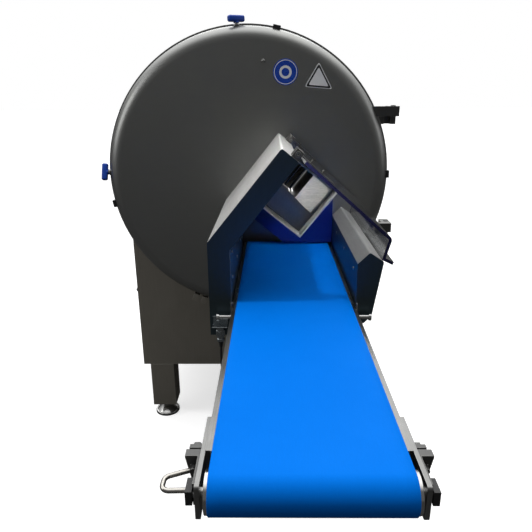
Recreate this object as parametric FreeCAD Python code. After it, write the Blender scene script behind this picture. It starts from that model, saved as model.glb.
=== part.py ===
"""Food portion cutter: round blade housing on a legged cabinet, with a swing-away
blade cover that carries the discharge hood, its clear guard and a belt conveyor.

Units are millimetres. The design axes start where the blade axis meets the
cover's front face, at floor level: x to the right, y into the machine, z up.
place() moves every finished piece to the row frame, whose origin is the centre
of the footprint on the floor.
"""
import FreeCAD, Part
import math
import os

# Blade housing and cover -----------------------------------------------------
AXIS_Z = 1074.0          # blade axis above the floor
COVER_R = 500.0          # outside of the cover's rim
COVER_DEPTH = 50.0       # front face to rear edge of the rim
COVER_BEND = 45.0        # outside radius of the rolled edge
SHEET = 3.0              # housing and cover sheet
SEAL_T = 3.4             # lip seal between cover and housing
SEAL_GAP = 0.6           # clearance in front of the seal
SEAL_LAP = 1.0           # seal beyond the cover's rim
FLANGE_R = COVER_R + 8.0 # housing flange
FLANGE_T = 5.0
SPIGOT_R = COVER_R - 14.0  # splash ring inside the cover
SPIGOT_REACH = 26.0      # how far the ring stands in front of the flange
HOUSING_BACK_Y = 118.0   # rear of the blade housing, front of the cabinet
BACK_PLATE_T = 6.0

# Cabinet, legs and feet ------------------------------------------------------
CABINET_HALF = 464.0
CABINET_BOTTOM = 259.0
CABINET_TOP = 800.0
CABINET_DEPTH = 900.0
LEG_SIDE = 100.0
LEG_WALL = 4.0
LEG_INSET = 27.0
FOOT_HEIGHT = 57.0
FOOT_R = 52.0

# Hinge of the cover ----------------------------------------------------------
HINGE_X = COVER_R + 19.0
HINGE_Y = 75.0
HINGE_PIN_R = 5.0
HINGE_WALL = 8.0         # metal round the pin
HINGE_ARM_H = 34.0
HINGE_ARM_Y = (30.0, 49.0)
HINGE_POST_H = 27.0
HINGE_SIDE_R = 13.0      # pin axis to the right-hand face of the arm
HINGE_OFFSETS = (205.0, -212.0)   # underside of each arm above the blade axis
RUN_CLEAR = 0.05                  # radial clearance of a running fit
FACE_CLEAR = 0.5                  # gap between faces that move past each other

# Discharge V: corner, and the directions of its two arms ---------------------
V_X = 189.5
V_Z = 857.0
V_TILT = 51.0                     # right arm above the horizontal
CHUTE_RIGHT = 236.0
CHUTE_LEFT = 200.0
CHUTE_SHEET = 3.0
CHUTE_FRONT_Y = -6.0
CHUTE_BACK_Y = 66.0
CHANNEL_INSET = 6.0               # product channel's corner above the chute's
CHANNEL_SIDE = 190.0              # square product channel behind the blade
CHANNEL_WALL = 4.0

# Hood and right-hand guard, sections seen from the front ---------------------
HOOD_FRONT_Y = -581.0
HOOD_SHEET = 2.5
HOOD_OUTER = [(-79.5, 736.0), (-79.5, 993.0), (110.7, 1228.0), (153.6, 1193.0)]
HOOD_INNER = [(-21.5, 736.0), (-21.5, 973.0), (153.6, 1193.0)]
GUARD_X = 307.0
GUARD_SECTION = [(307.0, 770.0), (307.0, 936.0), (337.6, 966.0), (374.7, 941.0),
                 (350.7, 790.0), (331.3, 770.0)]

# Clear flap ------------------------------------------------------------------
FLAP_SHEET = 8.0
FLAP_HINGE = (150.5, 1213.0)
FLAP_SECTION = [(165.5, 1190.5), (383.0, 999.5), (368.0, 946.5), (396.0, 933.0)]
FLAP_PIN_R = 4.0
FLAP_BLOCK = 22.0
FLAP_HINGE_YS = (-556.0, -60.0)

# Conveyor --------------------------------------------------------------------
BELT_TOP = 830.0
BELT_WIDTH = 300.0
BELT_T = 2.0
BELT_MID_X = 143.2
ROLLER_R = 31.5
FRONT_AXLE_Y = -1227.0
REAR_AXLE_Y = 18.0
RAIL_T = 8.0
RAIL_GAP = 3.2                    # belt edge to rail
RAIL_TOP = 824.0
RAIL_BOTTOM = 762.0
RAIL_FRONT_Y = -1170.0
NOSE_T = 7.5
NOSE_REAR_Y = -1078.0
NOSE_FRONT_Y = -1247.0
AXLE_R = 8.0
TAKE_UP = 12.0                    # travel of the front roller
BELT_CLEAR = 0.3                  # belt to roller or pulley

# Blade and drive -------------------------------------------------------------
BLADE_FRONT_Y = 75.0
BLADE_T = 6.0
BLADE_R = 430.0
BLADE_EDGE = (129.0, -41.0)       # a point of the cutting edge, from the axis
BLADE_EDGE_DIR = (0.687, -0.726)
SHAFT_R = 20.0
BEARING_R = 40.0
BEARING_W = 18.0
BEARING_YS = (132.0, 300.0)
SPINDLE_R = 52.0
SPINDLE_END_Y = 330.0
PULLEY_Y = 350.0
PULLEY_W = 32.0
BLADE_PULLEY_R = 56.0
MOTOR_PULLEY_R = 36.0
DRIVE_BELT_T = 5.0
MOTOR_X = -300.0
MOTOR_R = 85.0

# Infeed ----------------------------------------------------------------------
MOUTH_FRONT_Y = 82.0
MOUTH_WALL = 8.0
TROUGH_START_Y = 130.0
LID_START_Y = 440.0
TROUGH_END_Y = 1080.0
TROUGH_SLOT = 14.0                # slot along the V, measured up each wall
PUSHER_FACE_Y = 920.0
PUSHER_GAP = 5.0                  # pusher plate to channel walls
GUIDE_RAIL_H = 16.0

BELT_LEFT = BELT_MID_X - BELT_WIDTH / 2
BELT_RIGHT = BELT_MID_X + BELT_WIDTH / 2
RAIL_IN_LEFT = BELT_LEFT - RAIL_GAP
RAIL_OUT_LEFT = RAIL_IN_LEFT - RAIL_T
NOSE_OUT_LEFT = RAIL_OUT_LEFT - NOSE_T
RAIL_REAR_Y = REAR_AXLE_Y + 20.0
AXLE_Z = BELT_TOP - BELT_T - BELT_CLEAR - ROLLER_R
FLANGE_Y = COVER_DEPTH + SEAL_GAP + SEAL_T
CABINET_REAR_Y = HOUSING_BACK_Y + CABINET_DEPTH
ARM_1 = (math.cos(math.radians(V_TILT)), math.sin(math.radians(V_TILT)))
ARM_2 = (-ARM_1[1], ARM_1[0])
CHANNEL_END = CHANNEL_INSET + CHANNEL_SIDE

# Extremes of the whole machine, for the row frame's origin --------------------
KNOB_BAR = 24.0
KNOB_STAND = 8.0
LEFT_X = -(COVER_R + KNOB_STAND + KNOB_BAR)
RIGHT_X = HINGE_X + HINGE_SIDE_R
FRONT_Y = FRONT_AXLE_Y - ROLLER_R - BELT_CLEAR - BELT_T
REAR_Y = TROUGH_END_Y
ORIGIN = ((LEFT_X + RIGHT_X) / 2, (FRONT_Y + REAR_Y) / 2, 0.0)

X_DIR = FreeCAD.Vector(1, 0, 0)
Y_DIR = FreeCAD.Vector(0, 1, 0)
Z_DIR = FreeCAD.Vector(0, 0, 1)


# Helpers -----------------------------------------------------------------------
def vec(x, y, z):
    return FreeCAD.Vector(x, y, z)


def box(x0, x1, y0, y1, z0, z1):
    return Part.makeBox(x1 - x0, y1 - y0, z1 - z0, vec(x0, y0, z0))


def rod(start, direction, radius, length):
    return Part.makeCylinder(radius, length, start, direction)


def tube(start, direction, outer, inner, length):
    return rod(start, direction, outer, length).cut(rod(start, direction, inner, length))


def prism_y(points, y0, y1):
    """Extrudes an outline of (x, z) points from y0 to y1."""
    corners = [vec(x, y0, z) for x, z in points]
    face = Part.Face(Part.makePolygon(corners + [corners[0]]))
    return face.extrude(vec(0, y1 - y0, 0))


def prism_z(points, z0, z1):
    """Extrudes an outline of (x, y) points from z0 to z1."""
    corners = [vec(x, y, z0) for x, y in points]
    face = Part.Face(Part.makePolygon(corners + [corners[0]]))
    return face.extrude(vec(0, 0, z1 - z0))


def offset_path(points, distance):
    """Moves an open path of (x, z) points to its left by a distance, with mitred corners."""
    normals = []
    for (x0, z0), (x1, z1) in zip(points, points[1:]):
        length = math.hypot(x1 - x0, z1 - z0)
        normals.append((-(z1 - z0) / length, (x1 - x0) / length))
    moved = []
    for index, (x, z) in enumerate(points):
        before = normals[max(index - 1, 0)]
        after = normals[min(index, len(normals) - 1)]
        scale = distance / (1.0 + before[0] * after[0] + before[1] * after[1])
        moved.append((x + (before[0] + after[0]) * scale, z + (before[1] + after[1]) * scale))
    return moved


def bent_sheet(points, thickness, y0, y1):
    """A folded sheet whose outer face follows the path, with its thickness to the left."""
    return prism_y(points + offset_path(points, thickness)[::-1], y0, y1)


def round_long_edges(shape, radius, corners):
    """Rounds the edges along y that pass through the given (x, z) corners."""
    edges = []
    for edge in shape.Edges:
        ends = [vertex.Point for vertex in edge.Vertexes]
        if len(ends) != 2 or abs(ends[0].x - ends[1].x) + abs(ends[0].z - ends[1].z) > 0.01:
            continue
        if any(math.hypot(ends[0].x - x, ends[0].z - z) < 0.01 for x, z in corners):
            edges.append(edge)
    return shape.makeFillet(radius, edges)


def disc_y(radius, y0, y1, x=0.0, z=AXIS_Z):
    return rod(vec(x, y0, z), Y_DIR, radius, y1 - y0)


def ring_y(outer, inner, y0, y1, x=0.0, z=AXIS_Z):
    return tube(vec(x, y0, z), Y_DIR, outer, inner, y1 - y0)


def v_point(along_1, along_2):
    """A point of the V frame: distances along its right and its left arm."""
    return (V_X + ARM_1[0] * along_1 + ARM_2[0] * along_2,
            V_Z + ARM_1[1] * along_1 + ARM_2[1] * along_2)


def v_block(a0, a1, b0, b1, y0, y1):
    """A block square to the V: a along the right arm, b along the left arm."""
    return prism_y([v_point(a0, b0), v_point(a1, b0), v_point(a1, b1), v_point(a0, b1)], y0, y1)


def rim_point(angle, radius, y):
    turn = math.radians(angle)
    return vec(radius * math.cos(turn), y, AXIS_Z + radius * math.sin(turn))


def rim_direction(angle):
    turn = math.radians(angle)
    return vec(math.cos(turn), 0, math.sin(turn))


def turned_to_rim(shape, angle):
    """Turns a shape made at the right of the rim round to an angle."""
    shape.rotate(vec(0, 0, AXIS_Z), Y_DIR, -angle)
    return shape


def button_head(centre, direction, head_r, head_h):
    """A domed screw head standing on a surface."""
    head = rod(centre, direction, head_r, head_h)
    return head.makeFillet(min(head_r, head_h) * 0.6, [head.Edges[0]])


def hex_head(centre, direction, across, height):
    """A hexagon bolt head with its axis along the direction."""
    radius = across / math.sqrt(3)
    side = X_DIR if abs(direction.x) < 0.5 else Z_DIR
    up = direction.cross(side)
    corners = []
    for index in range(6):
        turn = math.radians(60 * index)
        corners.append(centre + side * (radius * math.cos(turn)) + up * (radius * math.sin(turn)))
    return Part.Face(Part.makePolygon(corners + [corners[0]])).extrude(direction * height)


def group(shapes):
    return Part.makeCompound(shapes)


def mirror_x(shape):
    """Mirrors a piece of the conveyor about the middle of the belt."""
    return shape.mirror(vec(BELT_MID_X, 0, 0), X_DIR)


# Blade housing -------------------------------------------------------------------
def channel_square(margin, y0, y1):
    """The product channel's square, grown by a margin on every side."""
    low = CHANNEL_INSET - margin
    high = CHANNEL_END + margin
    return v_block(low, high, low, high, y0, y1)


def blade_housing():
    """Fixed dish: rim with the flange the cover closes on, splash ring and back plate."""
    wall = ring_y(COVER_R, COVER_R - SHEET, FLANGE_Y + FLANGE_T, HOUSING_BACK_Y)
    flange = ring_y(FLANGE_R, SPIGOT_R - SHEET, FLANGE_Y, FLANGE_Y + FLANGE_T)
    spigot = ring_y(SPIGOT_R, SPIGOT_R - SHEET, FLANGE_Y - SPIGOT_REACH, FLANGE_Y)
    front = HOUSING_BACK_Y - BACK_PLATE_T
    plate = disc_y(COVER_R - SHEET, front, HOUSING_BACK_Y)
    plate = plate.cut(disc_y(SPINDLE_R, front, HOUSING_BACK_Y))
    plate = plate.cut(channel_square(MOUTH_WALL, front, HOUSING_BACK_Y))
    return wall.fuse([flange, spigot, plate]).removeSplitter()


def housing_seal():
    """Flat ring that the cover's rim closes against."""
    return ring_y(COVER_R + SEAL_LAP, SPIGOT_R + 2.0, FLANGE_Y - SEAL_T, FLANGE_Y)


REST_ANGLES = (245.8, 249.6)
REST_DEPTH = 28.0
REST_GAP = 1.5


def cover_rests():
    """Ledges under the rim that carry the free side of the closed cover."""
    rests = []
    inner = COVER_R + REST_GAP
    for angle in REST_ANGLES:
        pad = box(inner, inner + REST_DEPTH, 24.0, FLANGE_Y - 1.0, AXIS_Z - 11.0, AXIS_Z + 11.0)
        stem = box(inner + 12.0, inner + REST_DEPTH, FLANGE_Y - 1.0, HOUSING_BACK_Y,
                   AXIS_Z - 11.0, AXIS_Z + 11.0)
        rests.append(turned_to_rim(pad.fuse(stem).removeSplitter(), angle))
    return group(rests)


def infeed_mouth():
    """Square tube that guides the product through the housing to the blade."""
    outer = channel_square(MOUTH_WALL, MOUTH_FRONT_Y, TROUGH_START_Y)
    return outer.cut(channel_square(0.0, MOUTH_FRONT_Y, TROUGH_START_Y))


GUIDE_Y = 94.0
GUIDE_T = 4.0
GUIDE_RODS = (127.0, 149.0)


def product_guide():
    """Plate and two rods that narrow the channel to the product in use."""
    plate = v_block(CHANNEL_INSET + 75.0, CHANNEL_END, CHANNEL_INSET, CHANNEL_INSET + 84.0,
                    GUIDE_Y, GUIDE_Y + GUIDE_T)
    solids = [plate]
    for across in GUIDE_RODS:
        x, z = v_point(CHANNEL_END, across)
        solids.append(rod(vec(x, GUIDE_Y + 16.0, z), vec(-ARM_1[0], 0, -ARM_1[1]), 4.0, 96.0))
    return group(solids)


# Cabinet --------------------------------------------------------------------------
PANEL_T = 3.0
PANEL_X = 440.0
PANEL_MARGIN = 21.0      # cabinet's top and bottom to the panel's edge
PANEL_LAP = 18.0
PANEL_SCREW_X = (-420.0, -140.0, 140.0, 420.0)
SCREW_R = 3.0


def cabinet_shell():
    """Sheet body with a flanged opening at the rear for the service panel."""
    outer = box(-CABINET_HALF, CABINET_HALF, HOUSING_BACK_Y, CABINET_REAR_Y, CABINET_BOTTOM, CABINET_TOP)
    inner = box(-CABINET_HALF + SHEET, CABINET_HALF - SHEET, HOUSING_BACK_Y + SHEET, CABINET_REAR_Y - SHEET,
                CABINET_BOTTOM + SHEET, CABINET_TOP - SHEET)
    margin = PANEL_MARGIN + PANEL_LAP
    opening = box(-PANEL_X + PANEL_LAP, PANEL_X - PANEL_LAP, CABINET_REAR_Y - SHEET, CABINET_REAR_Y,
                  CABINET_BOTTOM + margin, CABINET_TOP - margin)
    return outer.cut(inner).cut(opening).cut(group(panel_screw_shanks()))


def panel_screw_points():
    inset = PANEL_MARGIN + PANEL_LAP / 2
    return [(x, z) for x in PANEL_SCREW_X for z in (CABINET_BOTTOM + inset, CABINET_TOP - inset)]


def panel_screw_shanks():
    length = SHEET + PANEL_T + 4.0
    return [rod(vec(x, CABINET_REAR_Y + PANEL_T, z), -Y_DIR, SCREW_R, length)
            for x, z in panel_screw_points()]


def service_panel():
    panel = box(-PANEL_X, PANEL_X, CABINET_REAR_Y, CABINET_REAR_Y + PANEL_T,
                CABINET_BOTTOM + PANEL_MARGIN, CABINET_TOP - PANEL_MARGIN)
    return panel.cut(group(panel_screw_shanks()))


def cabinet_screws():
    """Screws of the service panel, and a blanking bolt in the left side."""
    solids = []
    for (x, z), shank in zip(panel_screw_points(), panel_screw_shanks()):
        head = button_head(vec(x, CABINET_REAR_Y + PANEL_T, z), Y_DIR, 7.0, 4.5)
        solids.append(head.fuse(shank).removeSplitter())
    start = vec(-CABINET_HALF, HOUSING_BACK_Y + 20.0, 595.0)
    washer = rod(start, -X_DIR, 11.0, 2.0)
    solids.append(washer.fuse(button_head(start - X_DIR * 2.0, -X_DIR, 8.0, 7.0)).removeSplitter())
    return group(solids)


def leg_corners():
    """Near left corner of each leg."""
    near = HOUSING_BACK_Y
    far = CABINET_REAR_Y - LEG_SIDE
    left = -CABINET_HALF + LEG_INSET
    right = CABINET_HALF - LEG_INSET - LEG_SIDE
    return [(x, y) for x in (left, right) for y in (near, far)]


def cabinet_legs():
    """Square tube legs, each closed by the plate that takes its foot's stem."""
    legs = []
    for x, y in leg_corners():
        body = box(x, x + LEG_SIDE, y, y + LEG_SIDE, FOOT_HEIGHT, CABINET_BOTTOM)
        hollow = box(x + LEG_WALL, x + LEG_SIDE - LEG_WALL, y + LEG_WALL, y + LEG_SIDE - LEG_WALL,
                     FOOT_HEIGHT + 2 * LEG_WALL, CABINET_BOTTOM)
        legs.append(body.cut(hollow))
    return group(legs)


FOOT_PAD_H = 12.0
FOOT_CONE_TOP = 32.0
FOOT_NUT_Z = 43.0


def levelling_feet():
    """Round foot under each leg: pad, cone, stem and lock nut."""
    feet = []
    for x, y in leg_corners():
        centre = vec(x + LEG_SIDE / 2, y + LEG_SIDE / 2, 0)
        pad = rod(centre, Z_DIR, FOOT_R, FOOT_PAD_H)
        pad = pad.makeFillet(4.0, [pad.Edges[0]])
        cone = Part.makeCone(FOOT_R - 6.0, 20.0, FOOT_CONE_TOP - FOOT_PAD_H,
                             centre + Z_DIR * FOOT_PAD_H, Z_DIR)
        stem = rod(centre + Z_DIR * FOOT_CONE_TOP, Z_DIR, 12.0, FOOT_HEIGHT - FOOT_CONE_TOP)
        nut = hex_head(centre + Z_DIR * FOOT_NUT_Z, Z_DIR, 36.0, FOOT_HEIGHT - FOOT_NUT_Z)
        feet.append(pad.fuse([cone, stem, nut]).removeSplitter())
    return group(feet)


# Cover hinge ------------------------------------------------------------------------
BRACKET_BACK_Y = 112.0
BRACKET_ROOT = 60.0       # bracket and arm start this far inside the rim


def hinge_brackets():
    """Machine half of the hinge: on the housing's rim, a block with a bored post at each arm."""
    brackets = []
    rim = disc_y(COVER_R, FLANGE_Y, HOUSING_BACK_Y)
    front = HINGE_Y - HINGE_SIDE_R
    post_x = HINGE_X - HINGE_PIN_R - 4.0
    for offset in HINGE_OFFSETS:
        top = AXIS_Z + offset - FACE_CLEAR
        low = top - HINGE_POST_H
        block = box(COVER_R - BRACKET_ROOT, HINGE_X + HINGE_PIN_R + 4.0, front, BRACKET_BACK_Y, low, top)
        pocket = box(SPIGOT_R, post_x, front, BRACKET_BACK_Y - 14.0, low, top)
        bore = rod(vec(HINGE_X, HINGE_Y, low), Z_DIR, HINGE_PIN_R + RUN_CLEAR, HINGE_POST_H)
        brackets.append(block.cut(rim).cut(pocket).cut(bore))
    return group(brackets)


def front_rim_edge(cylinder):
    return min(cylinder.Edges, key=lambda edge: edge.BoundBox.YMax)


def cover_envelope():
    """Outside of the cover as a full body."""
    cylinder = disc_y(COVER_R, 0.0, COVER_DEPTH)
    return cylinder.makeFillet(COVER_BEND, [front_rim_edge(cylinder)])


def cover_hinge_arms():
    """Cover half of the hinge: an arm off the rim over each post, and its pin."""
    solids = []
    envelope = cover_envelope()
    front, back = HINGE_ARM_Y
    knuckle = HINGE_X - HINGE_SIDE_R - HINGE_WALL
    root = COVER_R - BRACKET_ROOT - 10.0
    for offset in HINGE_OFFSETS:
        low = AXIS_Z + offset
        plan = [(root, front), (RIGHT_X, front), (RIGHT_X, HINGE_Y + 30.0), (knuckle, HINGE_Y + 30.0),
                (knuckle, back), (root, back)]
        arm = prism_z(plan, low, low + HINGE_ARM_H).cut(envelope)
        solids.append(arm.cut(rod(vec(HINGE_X, HINGE_Y, low), Z_DIR, HINGE_PIN_R, HINGE_ARM_H)))
        shank = rod(vec(HINGE_X, HINGE_Y, low - FACE_CLEAR - HINGE_POST_H), Z_DIR, HINGE_PIN_R,
                    HINGE_POST_H + FACE_CLEAR + HINGE_ARM_H)
        head = button_head(vec(HINGE_X, HINGE_Y, low + HINGE_ARM_H), Z_DIR, HINGE_PIN_R + 4.0, 3.0)
        solids.append(shank.fuse(head).removeSplitter())
    return group(solids)


# Cover --------------------------------------------------------------------------------
OPENING_SIDE = 3.8       # conveyor rail to the side of the opening
OPENING_TOP = 950.0
KNOB_TOP_ANGLE = 93.4
KNOB_LEFT_ANGLE = 178.2
KNOB_Y = 38.0
KNOB_STUD_R = 6.0
KNOB_BOSS_R = 11.0
KNOB_BOSS_H = 4.0


def cover_opening():
    """Discharge opening: the product square and the recess for the conveyor's end."""
    left = RAIL_OUT_LEFT - OPENING_SIDE
    right = 2 * BELT_MID_X - left
    recess = box(left, right, 0.0, COVER_DEPTH, RAIL_BOTTOM - 7.0, OPENING_TOP)
    square = v_block(-5.0, CHUTE_RIGHT, -5.0, CHUTE_RIGHT, 0.0, COVER_DEPTH)
    return recess.fuse(square)


def cover_shell():
    """Rolled-edge dish with the discharge opening, knob bushes and a face pin."""
    envelope = cover_envelope()
    inner = disc_y(COVER_R - SHEET, SHEET, COVER_DEPTH)
    inner = inner.makeFillet(COVER_BEND - SHEET, [front_rim_edge(inner)])
    shell = envelope.cut(inner).cut(cover_opening())
    added = []
    bores = []
    for angle in (KNOB_TOP_ANGLE, KNOB_LEFT_ANGLE):
        direction = rim_direction(angle)
        boss = rod(rim_point(angle, COVER_R - 3.0, KNOB_Y), direction, KNOB_BOSS_R, KNOB_BOSS_H + 3.0)
        added.append(boss.cut(inner))
        bores.append(rod(rim_point(angle, COVER_R - 20.0, KNOB_Y), direction, KNOB_STUD_R + RUN_CLEAR, 40.0))
    pin = vec(59.4, 0, 1460.0)
    added.append(rod(pin, -Y_DIR, 7.0, 4.0))
    added.append(button_head(pin - Y_DIR * 4.0, -Y_DIR, 5.0, 10.0))
    return shell.fuse(added).removeSplitter().cut(group(bores))


def clamp_knob(angle, twist):
    """Bar knob on a radial stud whose tip presses on the splash ring."""
    tip = SPIGOT_R + 1.6
    foot = COVER_R + KNOB_STAND
    stud = rod(vec(tip, KNOB_Y, AXIS_Z), X_DIR, KNOB_STUD_R, foot - tip)
    bar = box(foot, foot + KNOB_BAR, KNOB_Y - 10.0, KNOB_Y + 10.0, AXIS_Z - 31.0, AXIS_Z + 31.0)
    ends = [edge for edge in bar.Edges if edge.BoundBox.YLength > 19.0]
    knob = bar.makeFillet(8.0, ends).fuse(stud).removeSplitter()
    knob.rotate(vec(foot, KNOB_Y, AXIS_Z), X_DIR, twist)
    return turned_to_rim(knob, angle)


MAGNET_ANGLES = (78.0, 191.4, 0.5)


def safety_magnets():
    """Coded magnets on the rim that tell the control that the cover is shut."""
    envelope = cover_envelope()
    blocks = []
    for angle in MAGNET_ANGLES:
        block = box(COVER_R - 6.0, COVER_R + 11.0, 30.0, 48.0, AXIS_Z - 13.0, AXIS_Z + 13.0)
        blocks.append(turned_to_rim(block, angle).cut(envelope))
    return group(blocks)


SIGN_T = 1.0
SIGN_ROUND = (133.6, 1425.0, 42.0)
SIGN_TRIANGLE = [(245.1, 1455.6), (198.5, 1377.5), (292.8, 1369.5)]


def safety_signs():
    """A round plate and a three-cornered plate on the cover's face."""
    x, z, radius = SIGN_ROUND
    plate = prism_y(SIGN_TRIANGLE, -SIGN_T, 0.0)
    plate = plate.makeFillet(5.0, [edge for edge in plate.Edges if abs(edge.Length - SIGN_T) < 0.01])
    return group([rod(vec(x, 0, z), -Y_DIR, radius, SIGN_T), plate])


# Hood and guard ------------------------------------------------------------------------
INSIDE_Y = HOOD_FRONT_Y + HOOD_SHEET
BEND_R = 6.0
WALL_SCREW_YS = (-520.0, -330.0, -140.0)


def closed_offset(points, distance):
    """Offsets a closed outline to the left of its direction."""
    return offset_path([points[-1]] + points + [points[0]], distance)[1:-1]


def hood_shell():
    """Folded skin of the hood with its closed front face, open towards the liner."""
    outline = HOOD_OUTER + [HOOD_INNER[1], HOOD_INNER[0]]
    body = round_long_edges(prism_y(outline, HOOD_FRONT_Y, 0.0), BEND_R, HOOD_OUTER[1:3])
    skin = offset_path(HOOD_OUTER, -HOOD_SHEET)
    low = HOOD_OUTER[0][1] + HOOD_SHEET
    cavity = [(skin[0][0], low), skin[1], skin[2], skin[3],
              HOOD_INNER[2], HOOD_INNER[1], (HOOD_INNER[0][0], low)]
    return body.cut(prism_y(cavity, INSIDE_Y, 0.0)).cut(liner_sheet())


def liner_sheet():
    return bent_sheet(HOOD_INNER, HOOD_SHEET, INSIDE_Y, 0.0)


def wall_screw(x, y, z, direction):
    """Button head on a wall's face, with its shank through the wall."""
    start = vec(x, y, z)
    head = button_head(start, direction, 5.0, 2.5)
    return head.fuse(rod(start, -direction, SCREW_R, HOOD_SHEET + 4.0)).removeSplitter()


def hood_screws():
    """Screws in the hood's liner and in the guard's inner wall."""
    screws = []
    for y in WALL_SCREW_YS:
        for z in (950.0, 880.0):
            screws.append(wall_screw(HOOD_INNER[0][0], y, z, X_DIR))
        screws.append(wall_screw(GUARD_X, y, 905.0, -X_DIR))
    return group(screws)


def hood_liner():
    """Inner wall of the hood, above the left edge of the conveyor."""
    return liner_sheet().cut(hood_screws())


def guard_shell():
    """Closed box guard along the right edge of the conveyor."""
    body = prism_y(GUARD_SECTION, HOOD_FRONT_Y, 0.0)
    body = round_long_edges(body, BEND_R, GUARD_SECTION[2:5])
    cavity = closed_offset(GUARD_SECTION, -HOOD_SHEET)
    return body.cut(prism_y(cavity, INSIDE_Y, 0.0)).cut(hood_screws())


# Chute and deflector ------------------------------------------------------------------
DEFLECTOR_Y = (-14.0, -4.0)
LINER_GAP = 1.5          # deflector plate to the hood's inner wall
TAB_SPANS = ((165.0, 205.0, -30.0), (172.0, 200.0, -15.0))


def outfeed_chute():
    """V of folded sheet between blade and belt, with a tab on each arm behind the cover's face."""
    path = [v_point(0.0, CHUTE_LEFT), v_point(0.0, 0.0), v_point(CHUTE_RIGHT, 0.0)]
    chute = bent_sheet(path, -CHUTE_SHEET, CHUTE_FRONT_Y, CHUTE_BACK_Y)
    (a0, a1, a_low), (b0, b1, b_low) = TAB_SPANS
    right = v_block(a0, a1, a_low, -CHUTE_SHEET, SHEET, 2 * SHEET)
    left = v_block(b_low, -CHUTE_SHEET, b0, b1, SHEET, 2 * SHEET)
    return chute.fuse([right, left]).removeSplitter()


def deflector_plate():
    """Plastic V plate that stands off the cover's face below the chute, with its two spacers."""
    low = BELT_TOP + 8.0
    right = GUARD_X - 1.5
    left = HOOD_INNER[0][0] + 6.0
    corner = v_point(-CHUTE_SHEET, -CHUTE_SHEET)
    rise_right = ARM_1[1] / ARM_1[0]
    rise_left = ARM_2[1] / ARM_2[0]
    top_right = (right, corner[1] + (right - corner[0]) * rise_right)
    top_left = (left, corner[1] + (left - corner[0]) * rise_left)
    low_left = (left, top_left[1] - 64.0)
    foot = (left + (low_left[1] - low) / abs(rise_left), low)
    y0, y1 = DEFLECTOR_Y
    plate = prism_y([corner, top_left, low_left, foot, (right, low), top_right], y0, y1)
    wall = offset_path(HOOD_INNER, -LINER_GAP)
    plate = plate.cut(prism_y(wall + [(left - 200.0, wall[2][1]), (left - 200.0, low)], y0, y1))
    spacers = [disc_y(6.0, y1, 0.0, 292.0, 959.0), disc_y(8.0, y1, 0.0, 0.0, 967.0)]
    return plate.fuse(spacers).removeSplitter()


# Clear flap ----------------------------------------------------------------------------
STRAP_W = 20.0
STRAP_T = 3.0
STRAP_START = -26.0
STRAP_LEN = 92.0
STRAP_BOLTS = (14.0, 52.0)
EYE_R = 9.0
FLAP_REAR_Y = -8.0


def flap_point(along, above):
    """A point in the flap's slope: distance from its upper edge, and above its lower face."""
    (x0, z0), (x1, z1) = FLAP_SECTION[0], FLAP_SECTION[1]
    length = math.hypot(x1 - x0, z1 - z0)
    dx = (x1 - x0) / length
    dz = (z1 - z0) / length
    return (x0 + dx * along - dz * above, z0 + dz * along + dx * above)


def flap_normal():
    x0, z0 = flap_point(0.0, 0.0)
    x1, z1 = flap_point(0.0, 1.0)
    return vec(x1 - x0, 0, z1 - z0)


def flap_bolt_shanks():
    shanks = []
    for y in FLAP_HINGE_YS:
        for along in STRAP_BOLTS:
            x, z = flap_point(along, 0.0)
            shanks.append(rod(vec(x, y, z), flap_normal(), SCREW_R, FLAP_SHEET + STRAP_T))
    return shanks


def clear_flap():
    """Thick clear sheet, folded along two lines, over the gap between hood and guard."""
    flap = bent_sheet(FLAP_SECTION, FLAP_SHEET, HOOD_FRONT_Y, FLAP_REAR_Y)
    outer = offset_path(FLAP_SECTION, FLAP_SHEET)
    flap = round_long_edges(flap, 6.0 + FLAP_SHEET, [outer[1]])
    flap = round_long_edges(flap, 6.0, [FLAP_SECTION[1]])
    return flap.cut(group(flap_bolt_shanks()))


def flap_straps():
    """Steel straps on the flap, each with an eye round its hinge pin, and their bolts."""
    solids = []
    x, z = FLAP_HINGE
    bolts = flap_bolt_shanks()
    for y in FLAP_HINGE_YS:
        y0 = y - STRAP_W / 2
        y1 = y + STRAP_W / 2
        outline = [flap_point(along, FLAP_SHEET) for along in (STRAP_START, STRAP_LEN)]
        outline += [flap_point(along, FLAP_SHEET + STRAP_T) for along in (STRAP_LEN, STRAP_START)]
        bar = prism_y(outline, y0, y1)
        strap = bar.fuse(disc_y(EYE_R, y0, y1, x, z)).removeSplitter()
        solids.append(strap.cut(disc_y(FLAP_PIN_R + RUN_CLEAR, y0, y1, x, z)).cut(group(bolts)))
    up = flap_normal()
    for shank, (y, along) in zip(bolts, [(y, along) for y in FLAP_HINGE_YS for along in STRAP_BOLTS]):
        low_x, low_z = flap_point(along, 0.0)
        top_x, top_z = flap_point(along, FLAP_SHEET + STRAP_T)
        head = button_head(vec(low_x, y, low_z), -up, 6.5, 4.0)
        nut = hex_head(vec(top_x, y, top_z), up, 10.0, 5.0)
        solids.append(shank.fuse([head, nut]).removeSplitter())
    return group(solids)


CLEVIS_T = 12.0


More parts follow.
